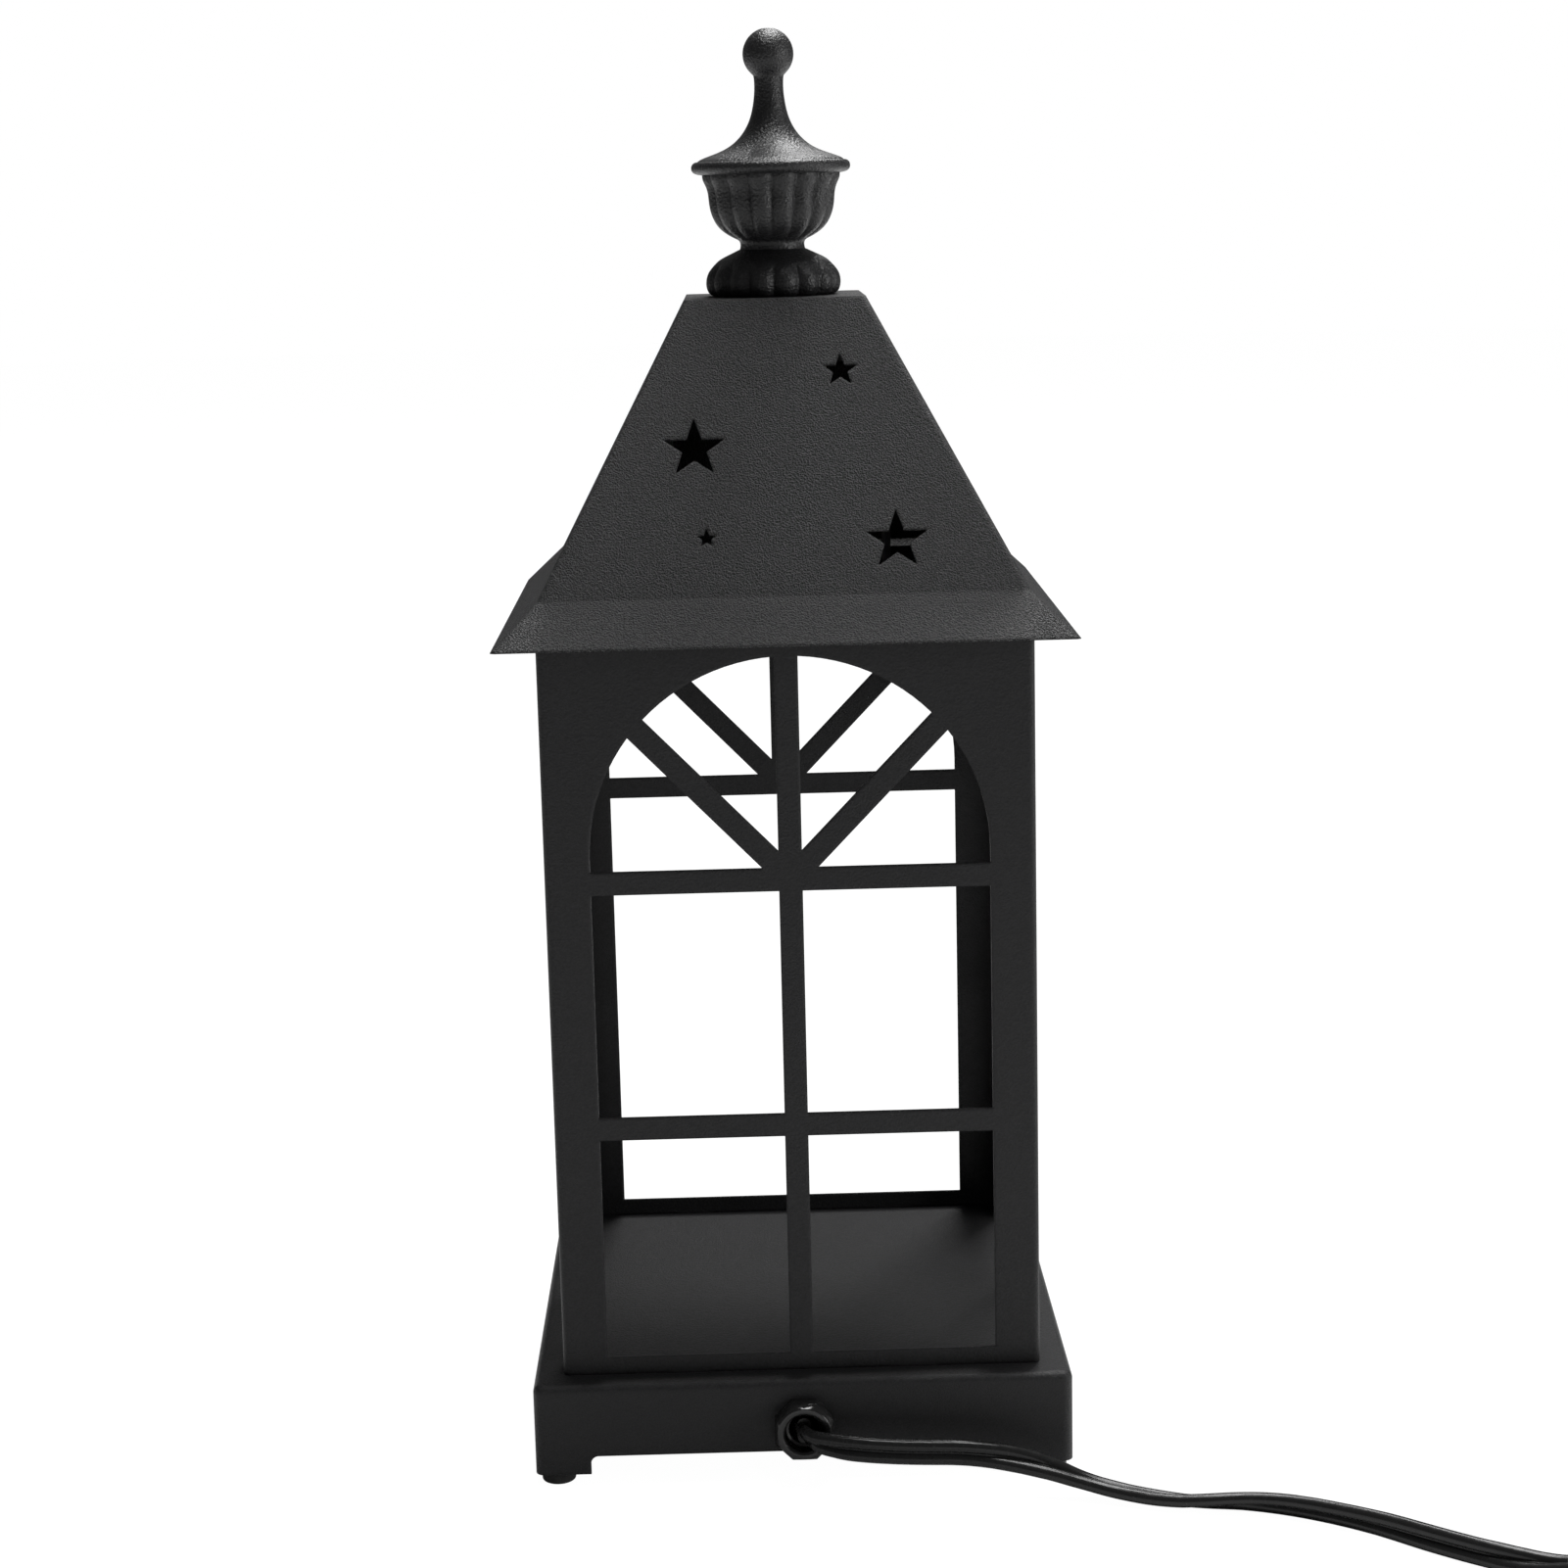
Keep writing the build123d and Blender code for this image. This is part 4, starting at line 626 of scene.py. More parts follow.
def twin_cord(name, route, resolution, rolls):
    """A flat twin cord along a route, and the points that it follows."""
    spots = followed(route, resolution, name)
    outline = twin_section(bpy.context.scene.lantern_cord)
    piece = sweep(name, frames(spots, rolls), [outline] * len(spots))
    smooth(piece, 50)
    return piece, spots


def coil_route():
    """Control points of the coil's turns: in along the floor, up, and out again."""
    whole = COIL_END + COIL_TURNS * 360.0 - COIL_START
    count = round(whole / 360.0 * POINTS_PER_TURN)
    points = []
    for k in range(count + 1):
        swept = whole * k / count
        turn = int(swept // 360.0)
        into = swept / 360.0 - turn
        step = along(COIL_STEP, into)
        column, layer = [
            places[turn] + (places[turn + 1] - places[turn]) * step
            for places in (COIL_COLUMNS, COIL_LAYERS)
        ]
        radius = (COIL_R + COLUMN_PITCH * column) / math.cos(math.pi / POINTS_PER_TURN)
        points.append(round_coil(COIL_START + swept, radius, FLOOR_LAYER_Z + LAYER_PITCH * layer))
    return points


def round_coil(angle, radius, height):
    """A point round the coil's middle, in millimetres."""
    a = math.radians(angle)
    return (COIL[0] + radius * math.cos(a), COIL[1] + radius * math.sin(a), height)


def past_coil(ahead, out, height):
    """A point past where the last turn leaves the coil, ahead and outwards of it."""
    a = math.radians(COIL_END)
    x, y, z = round_coil(COIL_END, LEAVE_R + out, height)
    return (x - ahead * math.sin(a), y + ahead * math.cos(a), z)


class LANTERN_OT_cords(bpy.types.Operator):
    """Lay the cord from the gland to the dimmer, and on round its coil to the plug"""

    bl_idname = "lantern.cords"
    bl_label = "Cords"

    def execute(self, context):
        lamp, spots = twin_cord("lamp_side_cord", LAMP_ROUTE, LAMP_STEPS, LAMP_ROLLS)
        settle(lamp, FINISHES["cord_black"], nodes=["cord_lamp_side"])
        route = PLUG_ROUTE + coil_route() + [past_coil(*spot) for spot in TAIL_ROUTE]
        lead, spots = twin_cord("plug_side_cord", route, PLUG_STEPS, PLUG_ROLLS)
        settle(
            lead, FINISHES["cord_black"],
            nodes=["cord_plug_side", "cord_coil", "cord_plug_tail"],
        )
        return {"FINISHED"}


# ---------------------------------------------------------------- gland, sleeves and plug
GLAND_FLATS = 15.2
GLAND_SIDES = 8
STEPS_PER_SIDE = 4
# The head's radius before its facets, and the least radius that belongs to it.
GLAND_HEAD_R = 8.2
GLAND_HEAD_FROM = 8.0
GLAND_ROUNDING = 0.3
# (radius, height above the wall) round the gland: its shank's threads, head, mouth and bore.
GLAND_LEVELS = [
    (3.9, -9.0), (4.5, -9.0), (5.0, -8.5), (5.0, -7.7), (4.6, -7.3), (4.6, -6.9), (5.0, -6.5),
    (5.0, -5.9), (4.6, -5.5), (4.6, -5.1), (5.0, -4.7), (5.0, 0.0), (GLAND_HEAD_R, 0.0),
    (GLAND_HEAD_R, 3.9), (6.9, 5.5), (5.7, 5.5), (5.0, 4.9), (4.8, 2.2), (3.9, 2.0),
]
# The power of the rounded-oblong outline: 2 is an ellipse, and higher is squarer.
SQUARE = 3.4
OUTLINE_SIDES = 28
# Half width and half thickness of a sleeve at its thick and thin ends.
SLEEVE_THICK_END = (6.6, 4.3)
SLEEVE_THIN_END = (4.6, 2.8)
SLEEVE_L = 21.0
SLEEVE_SEAT = 5.0
SLEEVE_STEP = 0.6
SLEEVE_RIB_DEPTH = 0.55
SLEEVE_ROUNDING = 0.12
# The rolls of a cord whose strands lie side by side all along.
LYING_FLAT = [(0.0, 90.0), (1.0, 90.0)]

PLUG_AHEAD = 44.0
PLUG_L = 41.0
PLUG_NECK_L = 20.0
PLUG_RIBS = 7
PLUG_RIB_DEPTH = 0.75
# The neck's half width and half thickness where it starts, how much they grow, and how evenly.
NECK_START = (5.2, 3.5)
NECK_GROWTH = (4.3, 1.9)
NECK_POWER = 1.3
GRIPS = 3
GRIPS_FROM = 28.4
GRIP_PITCH = 2.6
PLUG_ROUNDING = 0.15

BLADE_L = 16.0
BLADE_W = 6.3
BLADE_T = 1.5
BLADE_ROOT = 1.0
BLADE_CORNER = 1.4
BLADE_ROUNDING = 0.12
BLADE_HOLE_R = 1.6
BLADE_HOLE_IN = 4.0
BLADE_HOLE_SIDES = 24
BLADE_SPACING = 12.7


class LANTERN_OT_gland(bpy.types.Operator):
    """Turn the cord gland: an eight-sided nut with a chamfered face, a mouth and a threaded shank"""

    bl_idname = "lantern.gland"
    bl_label = "Cord gland"

    def execute(self, context):
        gland = lathe("gland_nut", GLAND_LEVELS, GLAND_SIDES * STEPS_PER_SIDE)
        facet = 2 * math.pi / GLAND_SIDES
        for column in range(STEPS_PER_SIDE // 2 + 1):
            off = facet * column / STEPS_PER_SIDE
            scale = GLAND_FLATS / 2 / math.cos(off) / GLAND_HEAD_R

            def in_column(v):
                a = math.atan2(v.co.y, v.co.x) / facet
                on_head = v.co.xy.length > GLAND_HEAD_FROM * MM
                return on_head and abs(abs(a - round(a)) * facet - off) < SAME_ANGLE

            pick(gland, in_column)
            bpy.ops.transform.resize(value=(scale, scale, 1), center_override=(0, 0, 0))
        close_up(gland)
        soften(gland, GLAND_ROUNDING, 2)
        close_up(gland)
        smooth(gland, 35)
        put(gland, Matrix.Rotation(math.pi / 2, 3, "X"), (0.0, WALL_Y, GLAND_Z))
        settle(gland, FINISHES["gland_nylon"], nodes=["cord_gland"])
        return {"FINISHED"}


def reach_at(angle):
    """How far a rounded square reaches at an angle, where a circle reaches 1."""
    return (abs(math.cos(angle)) ** SQUARE + abs(math.sin(angle)) ** SQUARE) ** (-1 / SQUARE)


def squared(half_w, half_t):
    """A rounded oblong outline as (wide, thin) offsets, in metres."""
    outline = []
    for k in range(OUTLINE_SIDES):
        angle = 2 * math.pi * k / OUTLINE_SIDES
        reach = reach_at(angle) * MM
        outline.append((half_w * reach * math.cos(angle), half_t * reach * math.sin(angle)))
    return outline


def ribbed_sleeve(name, spots):
    """A tapered sleeve with ribs along a cord that lies flat, thick at the first spot."""
    rings, sizes, passed = [], [], 0.0
    for k, spot in enumerate(spots):
        passed += (spot - spots[k - 1]).length / MM if k else 0.0
        if passed > SLEEVE_L:
            break
        share = passed / SLEEVE_L
        rib = SLEEVE_RIB_DEPTH if k % 4 in (0, 1) and 0.08 < share < 0.95 else 0.0
        wide, thin = [a + (b - a) * share - rib for a, b in zip(SLEEVE_THICK_END, SLEEVE_THIN_END)]
        rings.append(spot)
        sizes.append(squared(wide, thin))
    piece = sweep(name, frames(rings, LYING_FLAT), sizes)
    soften(piece, SLEEVE_ROUNDING, 1, 25)
    smooth(piece, 30)
    settle(piece, FINISHES["black_plastic"])


def evened(spots, step):
    """The same line with spots a step apart, in millimetres."""
    result, passed = [spots[0]], 0.0
    for a, b in zip(spots, spots[1:]):
        gap = (b - a).length
        while passed + gap >= step * MM:
            share = (step * MM - passed) / gap
            a = a.lerp(b, share)
            gap = (b - a).length
            result.append(a.copy())
            passed = 0.0
        passed += gap
    return result


class LANTERN_OT_sleeves(bpy.types.Operator):
    """Sweep the ribbed sleeve at each end of the dimmer"""

    bl_idname = "lantern.sleeves"
    bl_label = "Dimmer sleeves"

    def execute(self, context):
        lamp_seat = (DIMMER_ENDS[0] + SLEEVE_SEAT) * MM
        lamp = reversed(followed(LAMP_ROUTE, SLEEVE_STEPS, "lamp_line"))
        lamp = [spot for spot in lamp if spot.x < lamp_seat]
        ribbed_sleeve("lamp_side_sleeve", evened(lamp, SLEEVE_STEP))
        plug_seat = (DIMMER_ENDS[1] - SLEEVE_SEAT) * MM
        plug = followed(PLUG_ROUTE, SLEEVE_STEPS, "plug_line")
        plug = [spot for spot in plug if spot.x > plug_seat]
        ribbed_sleeve("plug_side_sleeve", evened(plug, SLEEVE_STEP))
        return {"FINISHED"}


def plug_levels():
    """(half width, half thickness, distance from the neck's end) of the plug's rings."""
    levels = []
    for k in range(PLUG_RIBS):
        low = PLUG_NECK_L * k / PLUG_RIBS
        for share, inset in ((0.0, 0.0), (0.5, 0.0), (0.55, PLUG_RIB_DEPTH), (0.95, PLUG_RIB_DEPTH)):
            d = low + PLUG_NECK_L / PLUG_RIBS * share
            t = (d / PLUG_NECK_L) ** NECK_POWER
            levels.append((*(a + b * t - inset for a, b in zip(NECK_START, NECK_GROWTH)), d))
    levels += [(9.8, 5.5, 20.0), (11.4, 6.2, 22.0), (12.0, 6.5, 25.0), (12.0, 6.5, 27.4)]
    levels.append((11.5, 6.1, 28.2))
    for k in range(GRIPS):
        d = GRIPS_FROM + GRIP_PITCH * k
        levels += [(11.5, 6.0, d), (11.5, 6.0, d + 0.9), (12.0, 6.5, d + 1.2), (12.0, 6.5, d + 2.3)]
    return levels + [(12.0, 6.5, 38.5), (11.8, 6.3, 40.4), (11.2, 5.7, PLUG_L)]


def drilled_blade(side):
    """One blade, upright over the plug's face, with its end rounded and drilled."""
    x, top = side * BLADE_SPACING / 2 * MM, (PLUG_L + BLADE_L) * MM
    clear_choice()
    bpy.ops.mesh.primitive_cube_add(size=MM)
    blade = bpy.context.object
    shape(blade)
    bpy.ops.mesh.select_all(action="SELECT")
    size = (BLADE_T, BLADE_W, BLADE_L + BLADE_ROOT)
    bpy.ops.transform.resize(value=size, center_override=(0, 0, 0))
    bpy.ops.transform.translate(value=(x, 0, (PLUG_L + (BLADE_L - BLADE_ROOT) / 2) * MM))

    def at_end(e):
        a, b = e.verts
        return abs(a.co.z - top) < NEAR and abs(b.co.z - top) < NEAR and abs(a.co.y - b.co.y) < NEAR

    pick(blade, at_end, "edges")
    bpy.ops.mesh.bevel(offset=BLADE_CORNER * MM, segments=4)
    close_up(blade)
    bpy.ops.mesh.primitive_cylinder_add(
        vertices=BLADE_HOLE_SIDES, radius=BLADE_HOLE_R * MM, depth=4 * BLADE_T * MM,
        rotation=(0, math.pi / 2, 0), location=(x, 0, top - BLADE_HOLE_IN * MM),
    )
    drill = bpy.context.object
    apply_modifier(blade, "BOOLEAN", object=drill, operation="DIFFERENCE", solver="EXACT")
    choose(drill)
    bpy.ops.object.delete()
    soften(blade, BLADE_ROUNDING, 1)
    return blade


class LANTERN_OT_plug(bpy.types.Operator):
    """Shape the plug with its ribbed neck and grips, and its two drilled blades"""

    bl_idname = "lantern.plug"
    bl_label = "Plug"

    def execute(self, context):
        a = math.radians(COIL_END)
        ahead, across = Vector((-math.sin(a), math.cos(a), 0)), Vector((math.cos(a), math.sin(a), 0))
        turn = Matrix((across, ahead.cross(across), ahead)).transposed()
        place = past_coil(PLUG_AHEAD, 0.0, PLUG_HALF_T)
        levels = plug_levels()
        body = add_ring("plug_grip", 1.0, 0.0, OUTLINE_SIDES)
        shape(body)
        for k in range(OUTLINE_SIDES // 4 + 1):
            off = 2 * math.pi * k / OUTLINE_SIDES
            reach = reach_at(off)

            def on_spoke(v):
                return abs(math.atan2(abs(v.co.y), abs(v.co.x)) - off) < SAME_ANGLE

            pick(body, on_spoke)
            bpy.ops.transform.resize(value=(reach, reach, 1), center_override=(0, 0, 0))
        bpy.ops.mesh.select_all(action="SELECT")
        bpy.ops.transform.resize(value=(levels[0][0], levels[0][1], 1), center_override=(0, 0, 0))
        bpy.ops.mesh.edge_face_add()
        draw_up(levels)
        close_up(body)
        soften(body, PLUG_ROUNDING, 1, 25)
        smooth(body, 32)
        put(body, turn, place)
        settle(body, FINISHES["black_plastic"], nodes=["plug_body"])

        first, second = drilled_blade(-1), drilled_blade(1)
        choose(first)
        second.select_set(True)
        bpy.ops.object.join()
        pair = context.object
        pair.name = "plug_blades_drilled"
        pair.data.name = pair.name
        smooth(pair, 35)
        put(pair, turn, place)
        settle(pair, FINISHES["contact_brass"], nodes=["plug_blades"])
        return {"FINISHED"}


# ---------------------------------------------------------------- finial
BORE_R = 3.05
FOOT_H = 12.0
URN_H = 19.3
COLUMNS_PER_LOBE = 6
LID_SIDES = 64
# (radius, height) levels of each turned piece, from its bore out and back to the bore.
FOOT_LEVELS = [
    (BORE_R, 0.0), (15.4, 0.0), (16.7, 0.3), (17.5, 1.1), (17.95, 2.4), (18.0, 3.8), (17.8, 5.0),
    (17.35, 6.1), (16.6, 7.1), (15.7, 8.0), (14.8, 8.8), (13.7, 9.6), (12.1, 10.4), (10.3, 11.2),
    (8.7, FOOT_H), (BORE_R, FOOT_H),
]
URN_LEVELS = [
    (BORE_R, 0.0), (8.6, 0.0), (8.4, 0.6), (8.35, 1.6), (8.75, 2.4), (10.3, 3.0), (12.1, 4.0),
    (13.7, 5.2), (14.8, 6.5), (15.5, 7.8), (16.1, 9.2), (16.5, 10.8), (16.7, 12.4), (16.8, 14.0),
    (17.0, 15.2), (17.35, 16.3), (17.85, 17.3), (18.3, 18.3), (18.3, URN_H), (BORE_R, URN_H),
]
LID_LEVELS = [
    (BORE_R, 7.5), (BORE_R, 0.0), (18.5, 0.0), (19.9, 0.3), (20.7, 0.9), (20.9, 1.7), (20.8, 2.5),
    (20.3, 3.15), (19.7, 3.35), (19.3, 3.3), (18.7, 3.9), (16.9, 4.6), (14.6, 5.35), (12.7, 6.1),
    (11.1, 6.9), (9.7, 7.85), (8.5, 8.9), (7.4, 10.1), (6.5, 11.4), (5.7, 12.8), (5.0, 14.5),
    (4.5, 16.3), (4.1, 18.4), (3.85, 20.4), (3.75, 22.4), (3.8, 24.2), (3.95, 25.1),
]
# The lid's levels that stay sharp: its underside, the top and step of its bead, and the ball's neck.
LID_RIMS = (1, 8, 9, -1)
# The ball on the lid: its middle's height, and how far over the neck its first ring lies.
BALL_R = 6.7
BALL_Z = 30.5
BALL_SEAT = 0.2
BALL_RINGS = 10
CROWN_INSET = 0.3
# The share of a groove's depth that each level of the foot and the urn has.
FOOT_DEPTHS = {1: 0.5, 2: 0.8, 3: 1, 4: 1, 5: 1, 6: 1, 7: 1, 8: 0.8, 9: 0.35}
URN_DEPTHS = {5: 0.35, 6: 0.7, 7: 0.9, **{level: 1 for level in range(8, 19)}}
# How fast a groove runs out towards the middle of a lobe.
GROOVE_POWER = 2.2
GROOVE_CREASE = 0.85
# The creased heights of the grooves, and the radius that they are creased outside of.
FOOT_GROOVES = (0.0, 8.1)
URN_GROOVES = (2.9, URN_H)
GROOVE_INNER_R = 9.0
RING_CREASE = 0.8
URN_CREASE = 1.0
# The most that the two ends of a ring's edge differ in radius.
RING_SLACK = 2.0


def flute(piece, levels, under, lobes, columns, depths):
    """Press grooves between a turned piece's lobes; depths give each level's share."""
    groove = bpy.context.scene.lantern_finial.groove
    step = 2 * math.pi / (lobes * columns)
    for level, share in depths.items():
        radius, height = levels[level][0] * MM, (under + levels[level][1]) * MM
        for column in range(columns // 2):
            t = column / (columns / 2)
            scale = 1 - groove * share * (1 - t) ** GROOVE_POWER / radius

            def in_column(v):
                if abs(v.co.z - height) > NEAR or abs(v.co.xy.length - radius) > ROUGHLY:
                    return False
                place = round((math.atan2(v.co.y, v.co.x) + math.pi / 2) / step) % columns
                return place in (column, (columns - column) % columns)

            pick(piece, in_column)
            bpy.ops.transform.resize(value=(scale, scale, 1), center_override=(0, 0, height))


def crease_grooves(piece, low, high, lobes):
    """Keep the grooves' bottoms sharp between two heights."""
    lobe = 2 * math.pi / lobes

    def in_groove(v):
        place = (math.atan2(v.co.y, v.co.x) + math.pi / 2) / lobe
        in_reach = low * MM <= v.co.z <= high * MM and v.co.xy.length > GROOVE_INNER_R * MM
        return in_reach and abs(place - round(place)) < SAME_ANGLE

    def down_groove(e):
        a, b = e.verts
        return in_groove(a) and in_groove(b) and abs(a.co.z - b.co.z) > ROUGHLY

    bpy.ops.mesh.select_mode(type="EDGE")
    pick(piece, down_groove, "edges")
    bpy.ops.transform.edge_crease(value=GROOVE_CREASE)


def crease_rings(piece, heights, value):
    """Sharpen a turned piece's rings at some heights."""
    bpy.ops.mesh.select_mode(type="EDGE")

    def level(e):
        a, b = e.verts
        flat = abs(a.co.z - b.co.z) < NEAR and any(abs(a.co.z - h * MM) < NEAR for h in heights)
        return flat and abs(a.co.xy.length - b.co.xy.length) < RING_SLACK * MM

    pick(piece, level, "edges")
    bpy.ops.transform.edge_crease(value=value)


def fluted(name, node, levels, under, depths, grooves, crease):
    """Turn the finial's foot or urn from its underside up, and press its grooves."""
    lobes, columns = bpy.context.scene.lantern_finial.lobes, COLUMNS_PER_LOBE
    piece = lathe(name, [(r, under + z) for r, z in levels], lobes * columns)
    flute(piece, levels, under, lobes, columns, depths)
    crease_grooves(piece, under + grooves[0], under + grooves[1], lobes)
    crease_rings(piece, [under, under + levels[-1][1]], crease)
    close_up(piece)
    subdivide(piece, 2)
    smooth(piece, 60)
    settle(piece, FINISHES["black_casting"], nodes=[node])


class LANTERN_OT_finial(bpy.types.Operator):
    """Turn and flute the finial's foot and urn, and turn its lid with the ball"""

    bl_idname = "lantern.finial"
    bl_label = "Finial"

    def execute(self, context):
        fluted(
            "finial_foot_fluted", "finial_foot", FOOT_LEVELS, ROOF_TOP, FOOT_DEPTHS, FOOT_GROOVES,
            RING_CREASE,
        )
        fluted(
            "finial_urn_fluted", "finial_urn", URN_LEVELS, URN_Z, URN_DEPTHS, URN_GROOVES, URN_CREASE
        )
        stacked = [(r, LID_Z + z) for r, z in LID_LEVELS]
        rims = [stacked[rim][1] for rim in LID_RIMS]
        sweep_from = math.asin((LID_LEVELS[-1][1] - BALL_Z + BALL_SEAT) / BALL_R)
        for k in range(1, BALL_RINGS):
            a = sweep_from + (math.pi / 2 - sweep_from) * k / BALL_RINGS
            stacked.append((BALL_R * math.cos(a), LID_Z + BALL_Z + BALL_R * math.sin(a)))
        lid = lathe("finial_lid_turned", stacked, LID_SIDES, closed=False)
        bpy.ops.mesh.edge_face_add()
        bpy.ops.mesh.inset(thickness=CROWN_INSET * MM)
        bore_top = stacked[0][1] * MM
        pick(lid, lambda v: abs(v.co.z - bore_top) < NEAR and v.co.xy.length < (BORE_R + 1) * MM)
        bpy.ops.mesh.edge_face_add()
        crease_rings(lid, rims, RING_CREASE)
        close_up(lid)
        subdivide(lid, 1)
        smooth(lid, 45)
        settle(lid, FINISHES["black_casting"], nodes=["finial_cap"])
        return {"FINISHED"}


# ---------------------------------------------------------------- lamp
# (radius, height) of the mirror coat's facets, from the front glass up to the neck.
MIRROR_LEVELS = [
    (23.4, 218.4), (22.6, 221.6), (21.2, 225.0), (19.4, 228.4), (17.0, 232.2), (14.4, 235.8),
    (11.8, 239.4), (9.2, 243.2),
]
MIRROR_FACETS = 28
MIRROR_T = 0.2


class LANTERN_OT_lamp(bpy.types.Operator):
    """Facet the mirror coat inside the lamp's reflector"""

    bl_idname = "lantern.lamp"
    bl_label = "Lamp mirror"

    def execute(self, context):
        mirror = lathe("reflector_mirror", MIRROR_LEVELS, MIRROR_FACETS, closed=False)
        bpy.ops.object.mode_set(mode="OBJECT")
        apply_modifier(mirror, "SOLIDIFY", thickness=MIRROR_T * MM, offset=0.0)
        settle(mirror, FINISHES["reflector_coat"], body="bulb")
        return {"FINISHED"}


# ---------------------------------------------------------------- stage
# The camera and the lights are placed in metres, and turned in degrees.
CAMERA_PLACE = (-0.01047, -0.7934, 0.32886)
CAMERA_YAW = -0.566
CAMERA_PITCH = 11.22
CAMERA_ROLL = 1.396
CAMERA_SHIFT = (0.0054, -0.001)
SENSOR_W = 36.0
AIM = Vector((0, 0, 0.15))
# Place, size and share of the key light's power.
SOFTBOXES = {
    "overhead_softbox": ((0.2, 0.1, 2.1), 0.8, 1.0),
    "back_softbox": ((0.3, 1.0, 1.8), 0.7, 0.66),
    "right_softbox": ((1.9, -0.7, 0.55), 0.7, 0.44),
}
FLOOR_R = 6.0
FLOOR_DROP = 0.0001
FLOOR_WHITE = 0.8
FLOOR_GLOW = 1.095
# How much of the floor that the camera sees is glow, not paint.
GLOW_SHARE = 0.9


class LANTERN_OT_stage(bpy.types.Operator):
    """Floor, surround, studio lights and camera"""

    bl_idname = "lantern.stage"
    bl_label = "Stage"

    def execute(self, context):
        sizes = context.scene.lantern_stage
        clear_choice()
        bpy.ops.mesh.primitive_circle_add(
            vertices=64, radius=FLOOR_R, fill_type="NGON", location=(0, 0, -FLOOR_DROP)
        )
        floor = context.object
        floor.name = "studio_floor"
        bpy.ops.object.transform_apply(location=True, rotation=True, scale=True)
        floor.data.materials.append(floor_paint())
        light_surround(context.scene, sizes.surround)
        for name, (place, size, share) in SOFTBOXES.items():
            soft_light(name, place, size, sizes.key * share)
        place_camera(context.scene, sizes.lens)
        return {"FINISHED"}


def floor_paint():
    """White floor that keeps the object's shadow."""
    material = bpy.data.materials.new("white studio floor")
    material.use_nodes = True
    nodes, links = material.node_tree.nodes, material.node_tree.links
    nodes.remove(nodes["Principled BSDF"])
    paint = nodes.new("ShaderNodeBsdfDiffuse")
    paint.inputs["Color"].default_value = (FLOOR_WHITE, FLOOR_WHITE, FLOOR_WHITE, 1)
    glow = nodes.new("ShaderNodeEmission")
    glow.inputs["Color"].default_value = (1, 1, 1, 1)
    glow.inputs["Strength"].default_value = FLOOR_GLOW
    eye = nodes.new("ShaderNodeLightPath")
    share = nodes.new("ShaderNodeMath")
    share.operation = "MULTIPLY"
    share.inputs[1].default_value = GLOW_SHARE
    mix = nodes.new("ShaderNodeMixShader")
    links.new(eye.outputs["Is Camera Ray"], share.inputs[0])
    links.new(share.outputs["Value"], mix.inputs["Fac"])
    links.new(paint.outputs["BSDF"], mix.inputs[1])
    links.new(glow.outputs["Emission"], mix.inputs[2])
    links.new(mix.outputs["Shader"], nodes["Material Output"].inputs["Surface"])
    return material


def light_surround(scene, level):
    """Even light from all round, white to the eye and through glass."""
    world = bpy.data.worlds.new("studio surround")
    world.use_nodes = True
    scene.world = world
    nodes, links = world.node_tree.nodes, world.node_tree.links
    eye = nodes.new("ShaderNodeLightPath")
    through = nodes.new("ShaderNodeMath")
    through.operation = "MAXIMUM"
    links.new(eye.outputs["Is Camera Ray"], through.inputs[0])
    links.new(eye.outputs["Is Transmission Ray"], through.inputs[1])
    strength = nodes.new("ShaderNodeMapRange")
    strength.inputs["To Min"].default_value = level
    strength.inputs["To Max"].default_value = 1.0
    links.new(through.outputs["Value"], strength.inputs["Value"])
    background = nodes["Background"]
    background.inputs["Color"].default_value = (1, 1, 1, 1)
    links.new(strength.outputs["Result"], background.inputs["Strength"])


def soft_light(name, place, size, power):
    """A square softbox aimed at the lantern's middle."""
    lamp = bpy.data.lights.new(name, "AREA")
    lamp.size = size
    lamp.energy = power
    holder = bpy.data.objects.new(name, lamp)
    holder.location = place
    holder.rotation_euler = (AIM - Vector(place)).to_track_quat("-Z", "Y").to_euler()
    bpy.context.collection.objects.link(holder)


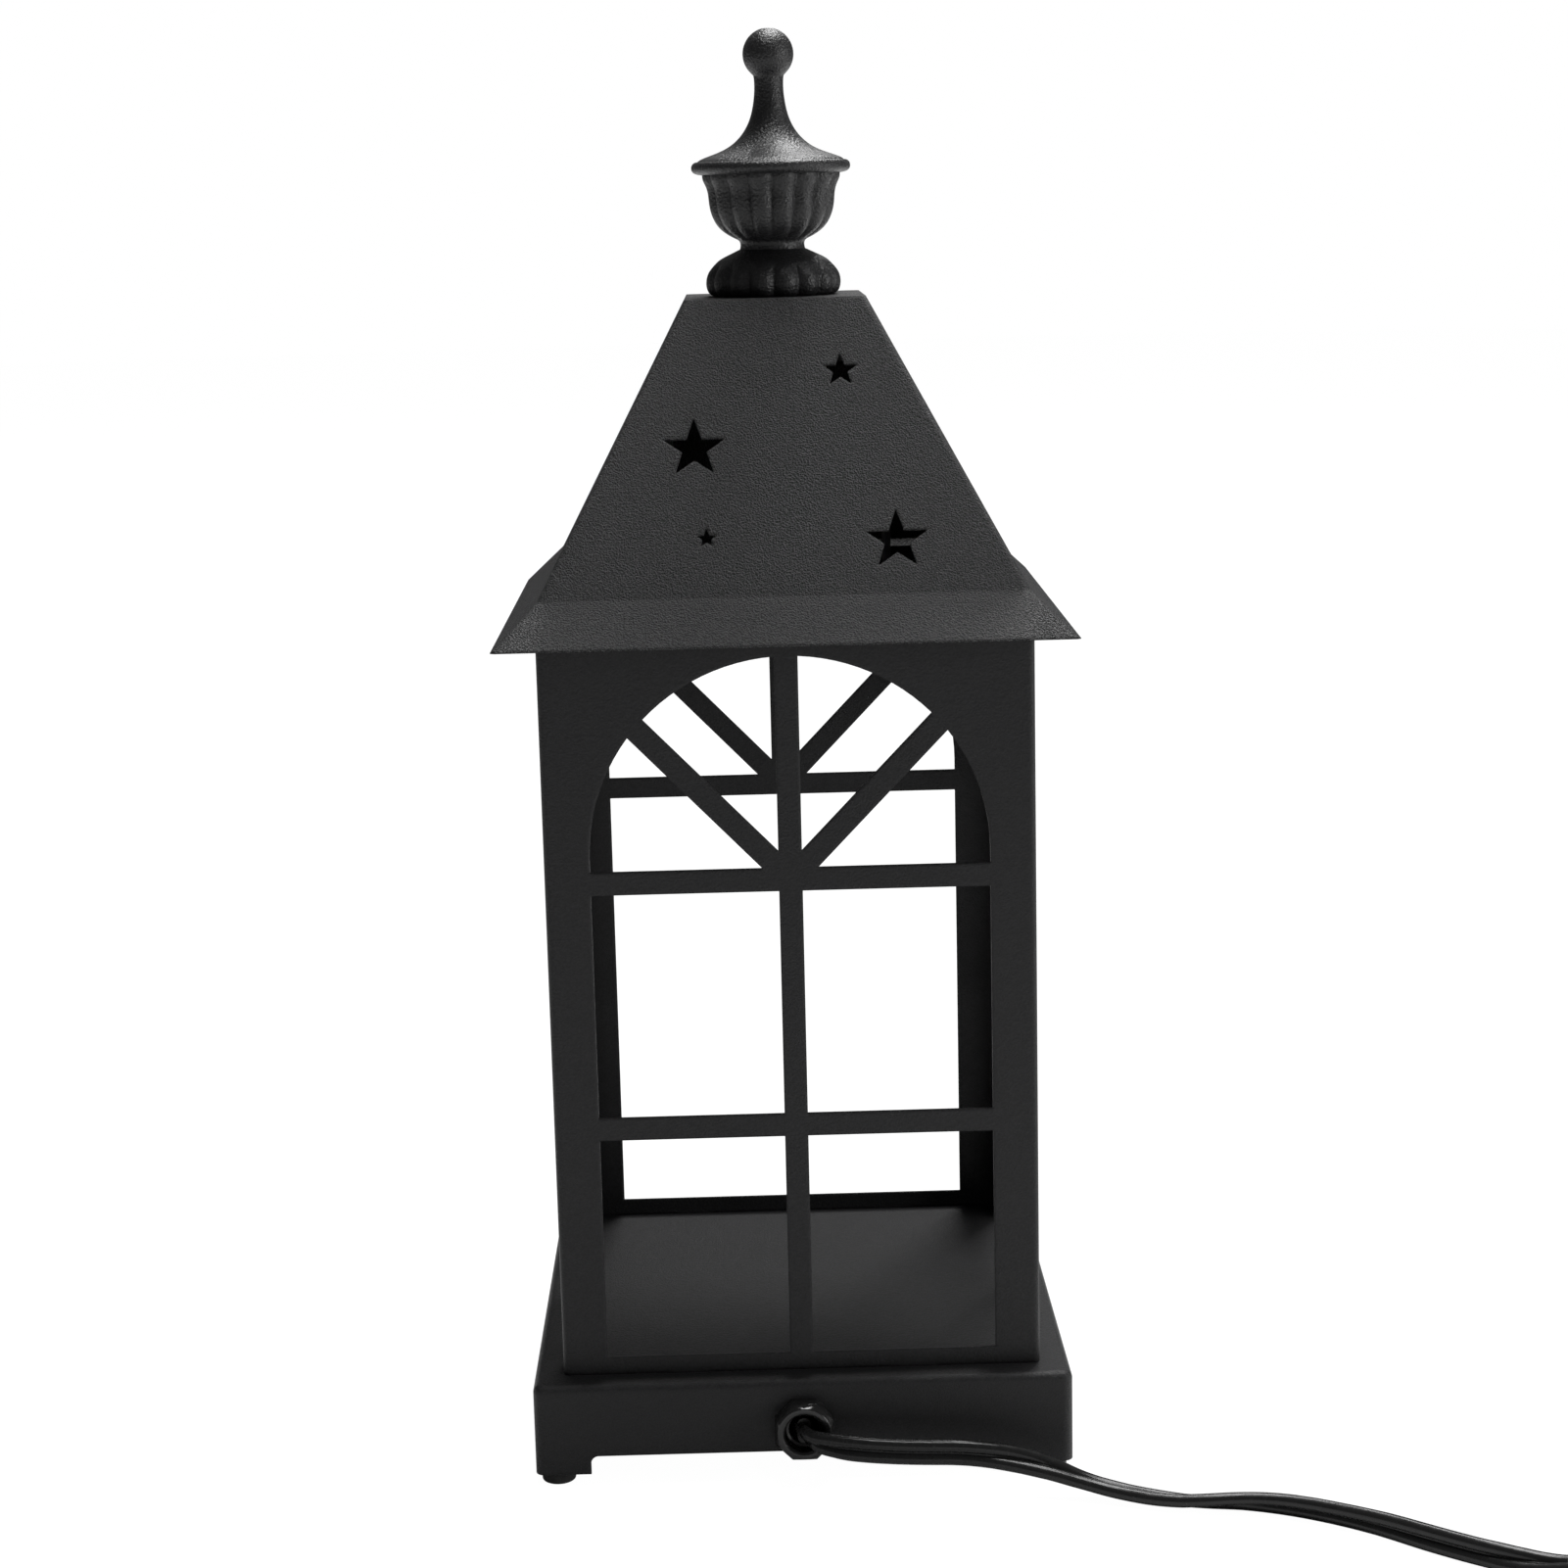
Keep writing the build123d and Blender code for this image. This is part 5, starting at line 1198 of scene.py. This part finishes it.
def place_camera(scene, lens):
    """The camera: in front of the lantern at its finial's height, looking slightly down."""
    yaw, pitch, roll = [math.radians(turn) for turn in (CAMERA_YAW, CAMERA_PITCH, CAMERA_ROLL)]
    level = math.cos(pitch)
    ahead = Vector((-math.sin(yaw) * level, math.cos(yaw) * level, -math.sin(pitch)))
    right = Vector((math.cos(yaw), math.sin(yaw), 0))
    down = ahead.cross(right)
    across = right * math.cos(roll) + down * math.sin(roll)
    below = down * math.cos(roll) - right * math.sin(roll)
    data = bpy.data.cameras.new("studio camera")
    data.lens = lens
    data.sensor_width = SENSOR_W
    data.shift_x, data.shift_y = CAMERA_SHIFT
    camera = bpy.data.objects.new("studio_camera", data)
    turn = Matrix((across, -below, -ahead)).transposed()
    camera.matrix_world = Matrix.Translation(CAMERA_PLACE) @ turn.to_4x4()
    bpy.context.collection.objects.link(camera)
    scene.camera = camera
    scene.view_settings.view_transform = "Standard"


# ---------------------------------------------------------------- add-on
class LANTERN_PT_pieces(bpy.types.Panel):
    """Lists the lantern's pieces"""

    bl_label = "Lantern"
    bl_idname = "LANTERN_PT_pieces"
    bl_space_type = "VIEW_3D"
    bl_region_type = "UI"
    bl_category = "Lantern"

    def draw(self, context):
        for piece in PIECES:
            self.layout.operator(piece.bl_idname)
        for group, holder in GROUPS.items():
            settings = getattr(context.scene, holder)
            for name in group.__annotations__:
                self.layout.prop(settings, name)


GROUPS = {
    LanternCordSizes: "lantern_cord",
    LanternFinialSizes: "lantern_finial",
    LanternPaint: "lantern_paint",
    LanternStage: "lantern_stage",
}
PIECES = [
    LANTERN_OT_finishes, LANTERN_OT_gland, LANTERN_OT_plug, LANTERN_OT_sleeves, LANTERN_OT_cords,
    LANTERN_OT_finial, LANTERN_OT_lamp, LANTERN_OT_stage,
]


def register():
    for group, name in GROUPS.items():
        bpy.utils.register_class(group)
        setattr(bpy.types.Scene, name, PointerProperty(type=group))
    for piece in PIECES:
        bpy.utils.register_class(piece)
    bpy.utils.register_class(LANTERN_PT_pieces)


def unregister():
    bpy.utils.unregister_class(LANTERN_PT_pieces)
    for piece in reversed(PIECES):
        bpy.utils.unregister_class(piece)
    for group, name in GROUPS.items():
        delattr(bpy.types.Scene, name)
        bpy.utils.unregister_class(group)


def main():
    """Dress the lantern."""
    register()
    bpy.ops.lantern.finishes()
    bpy.ops.lantern.gland()
    bpy.ops.lantern.plug()
    bpy.ops.lantern.sleeves()
    bpy.ops.lantern.cords()
    bpy.ops.lantern.finial()
    bpy.ops.lantern.lamp()
    bpy.ops.lantern.stage()


if __name__ == "__main__":
    main()
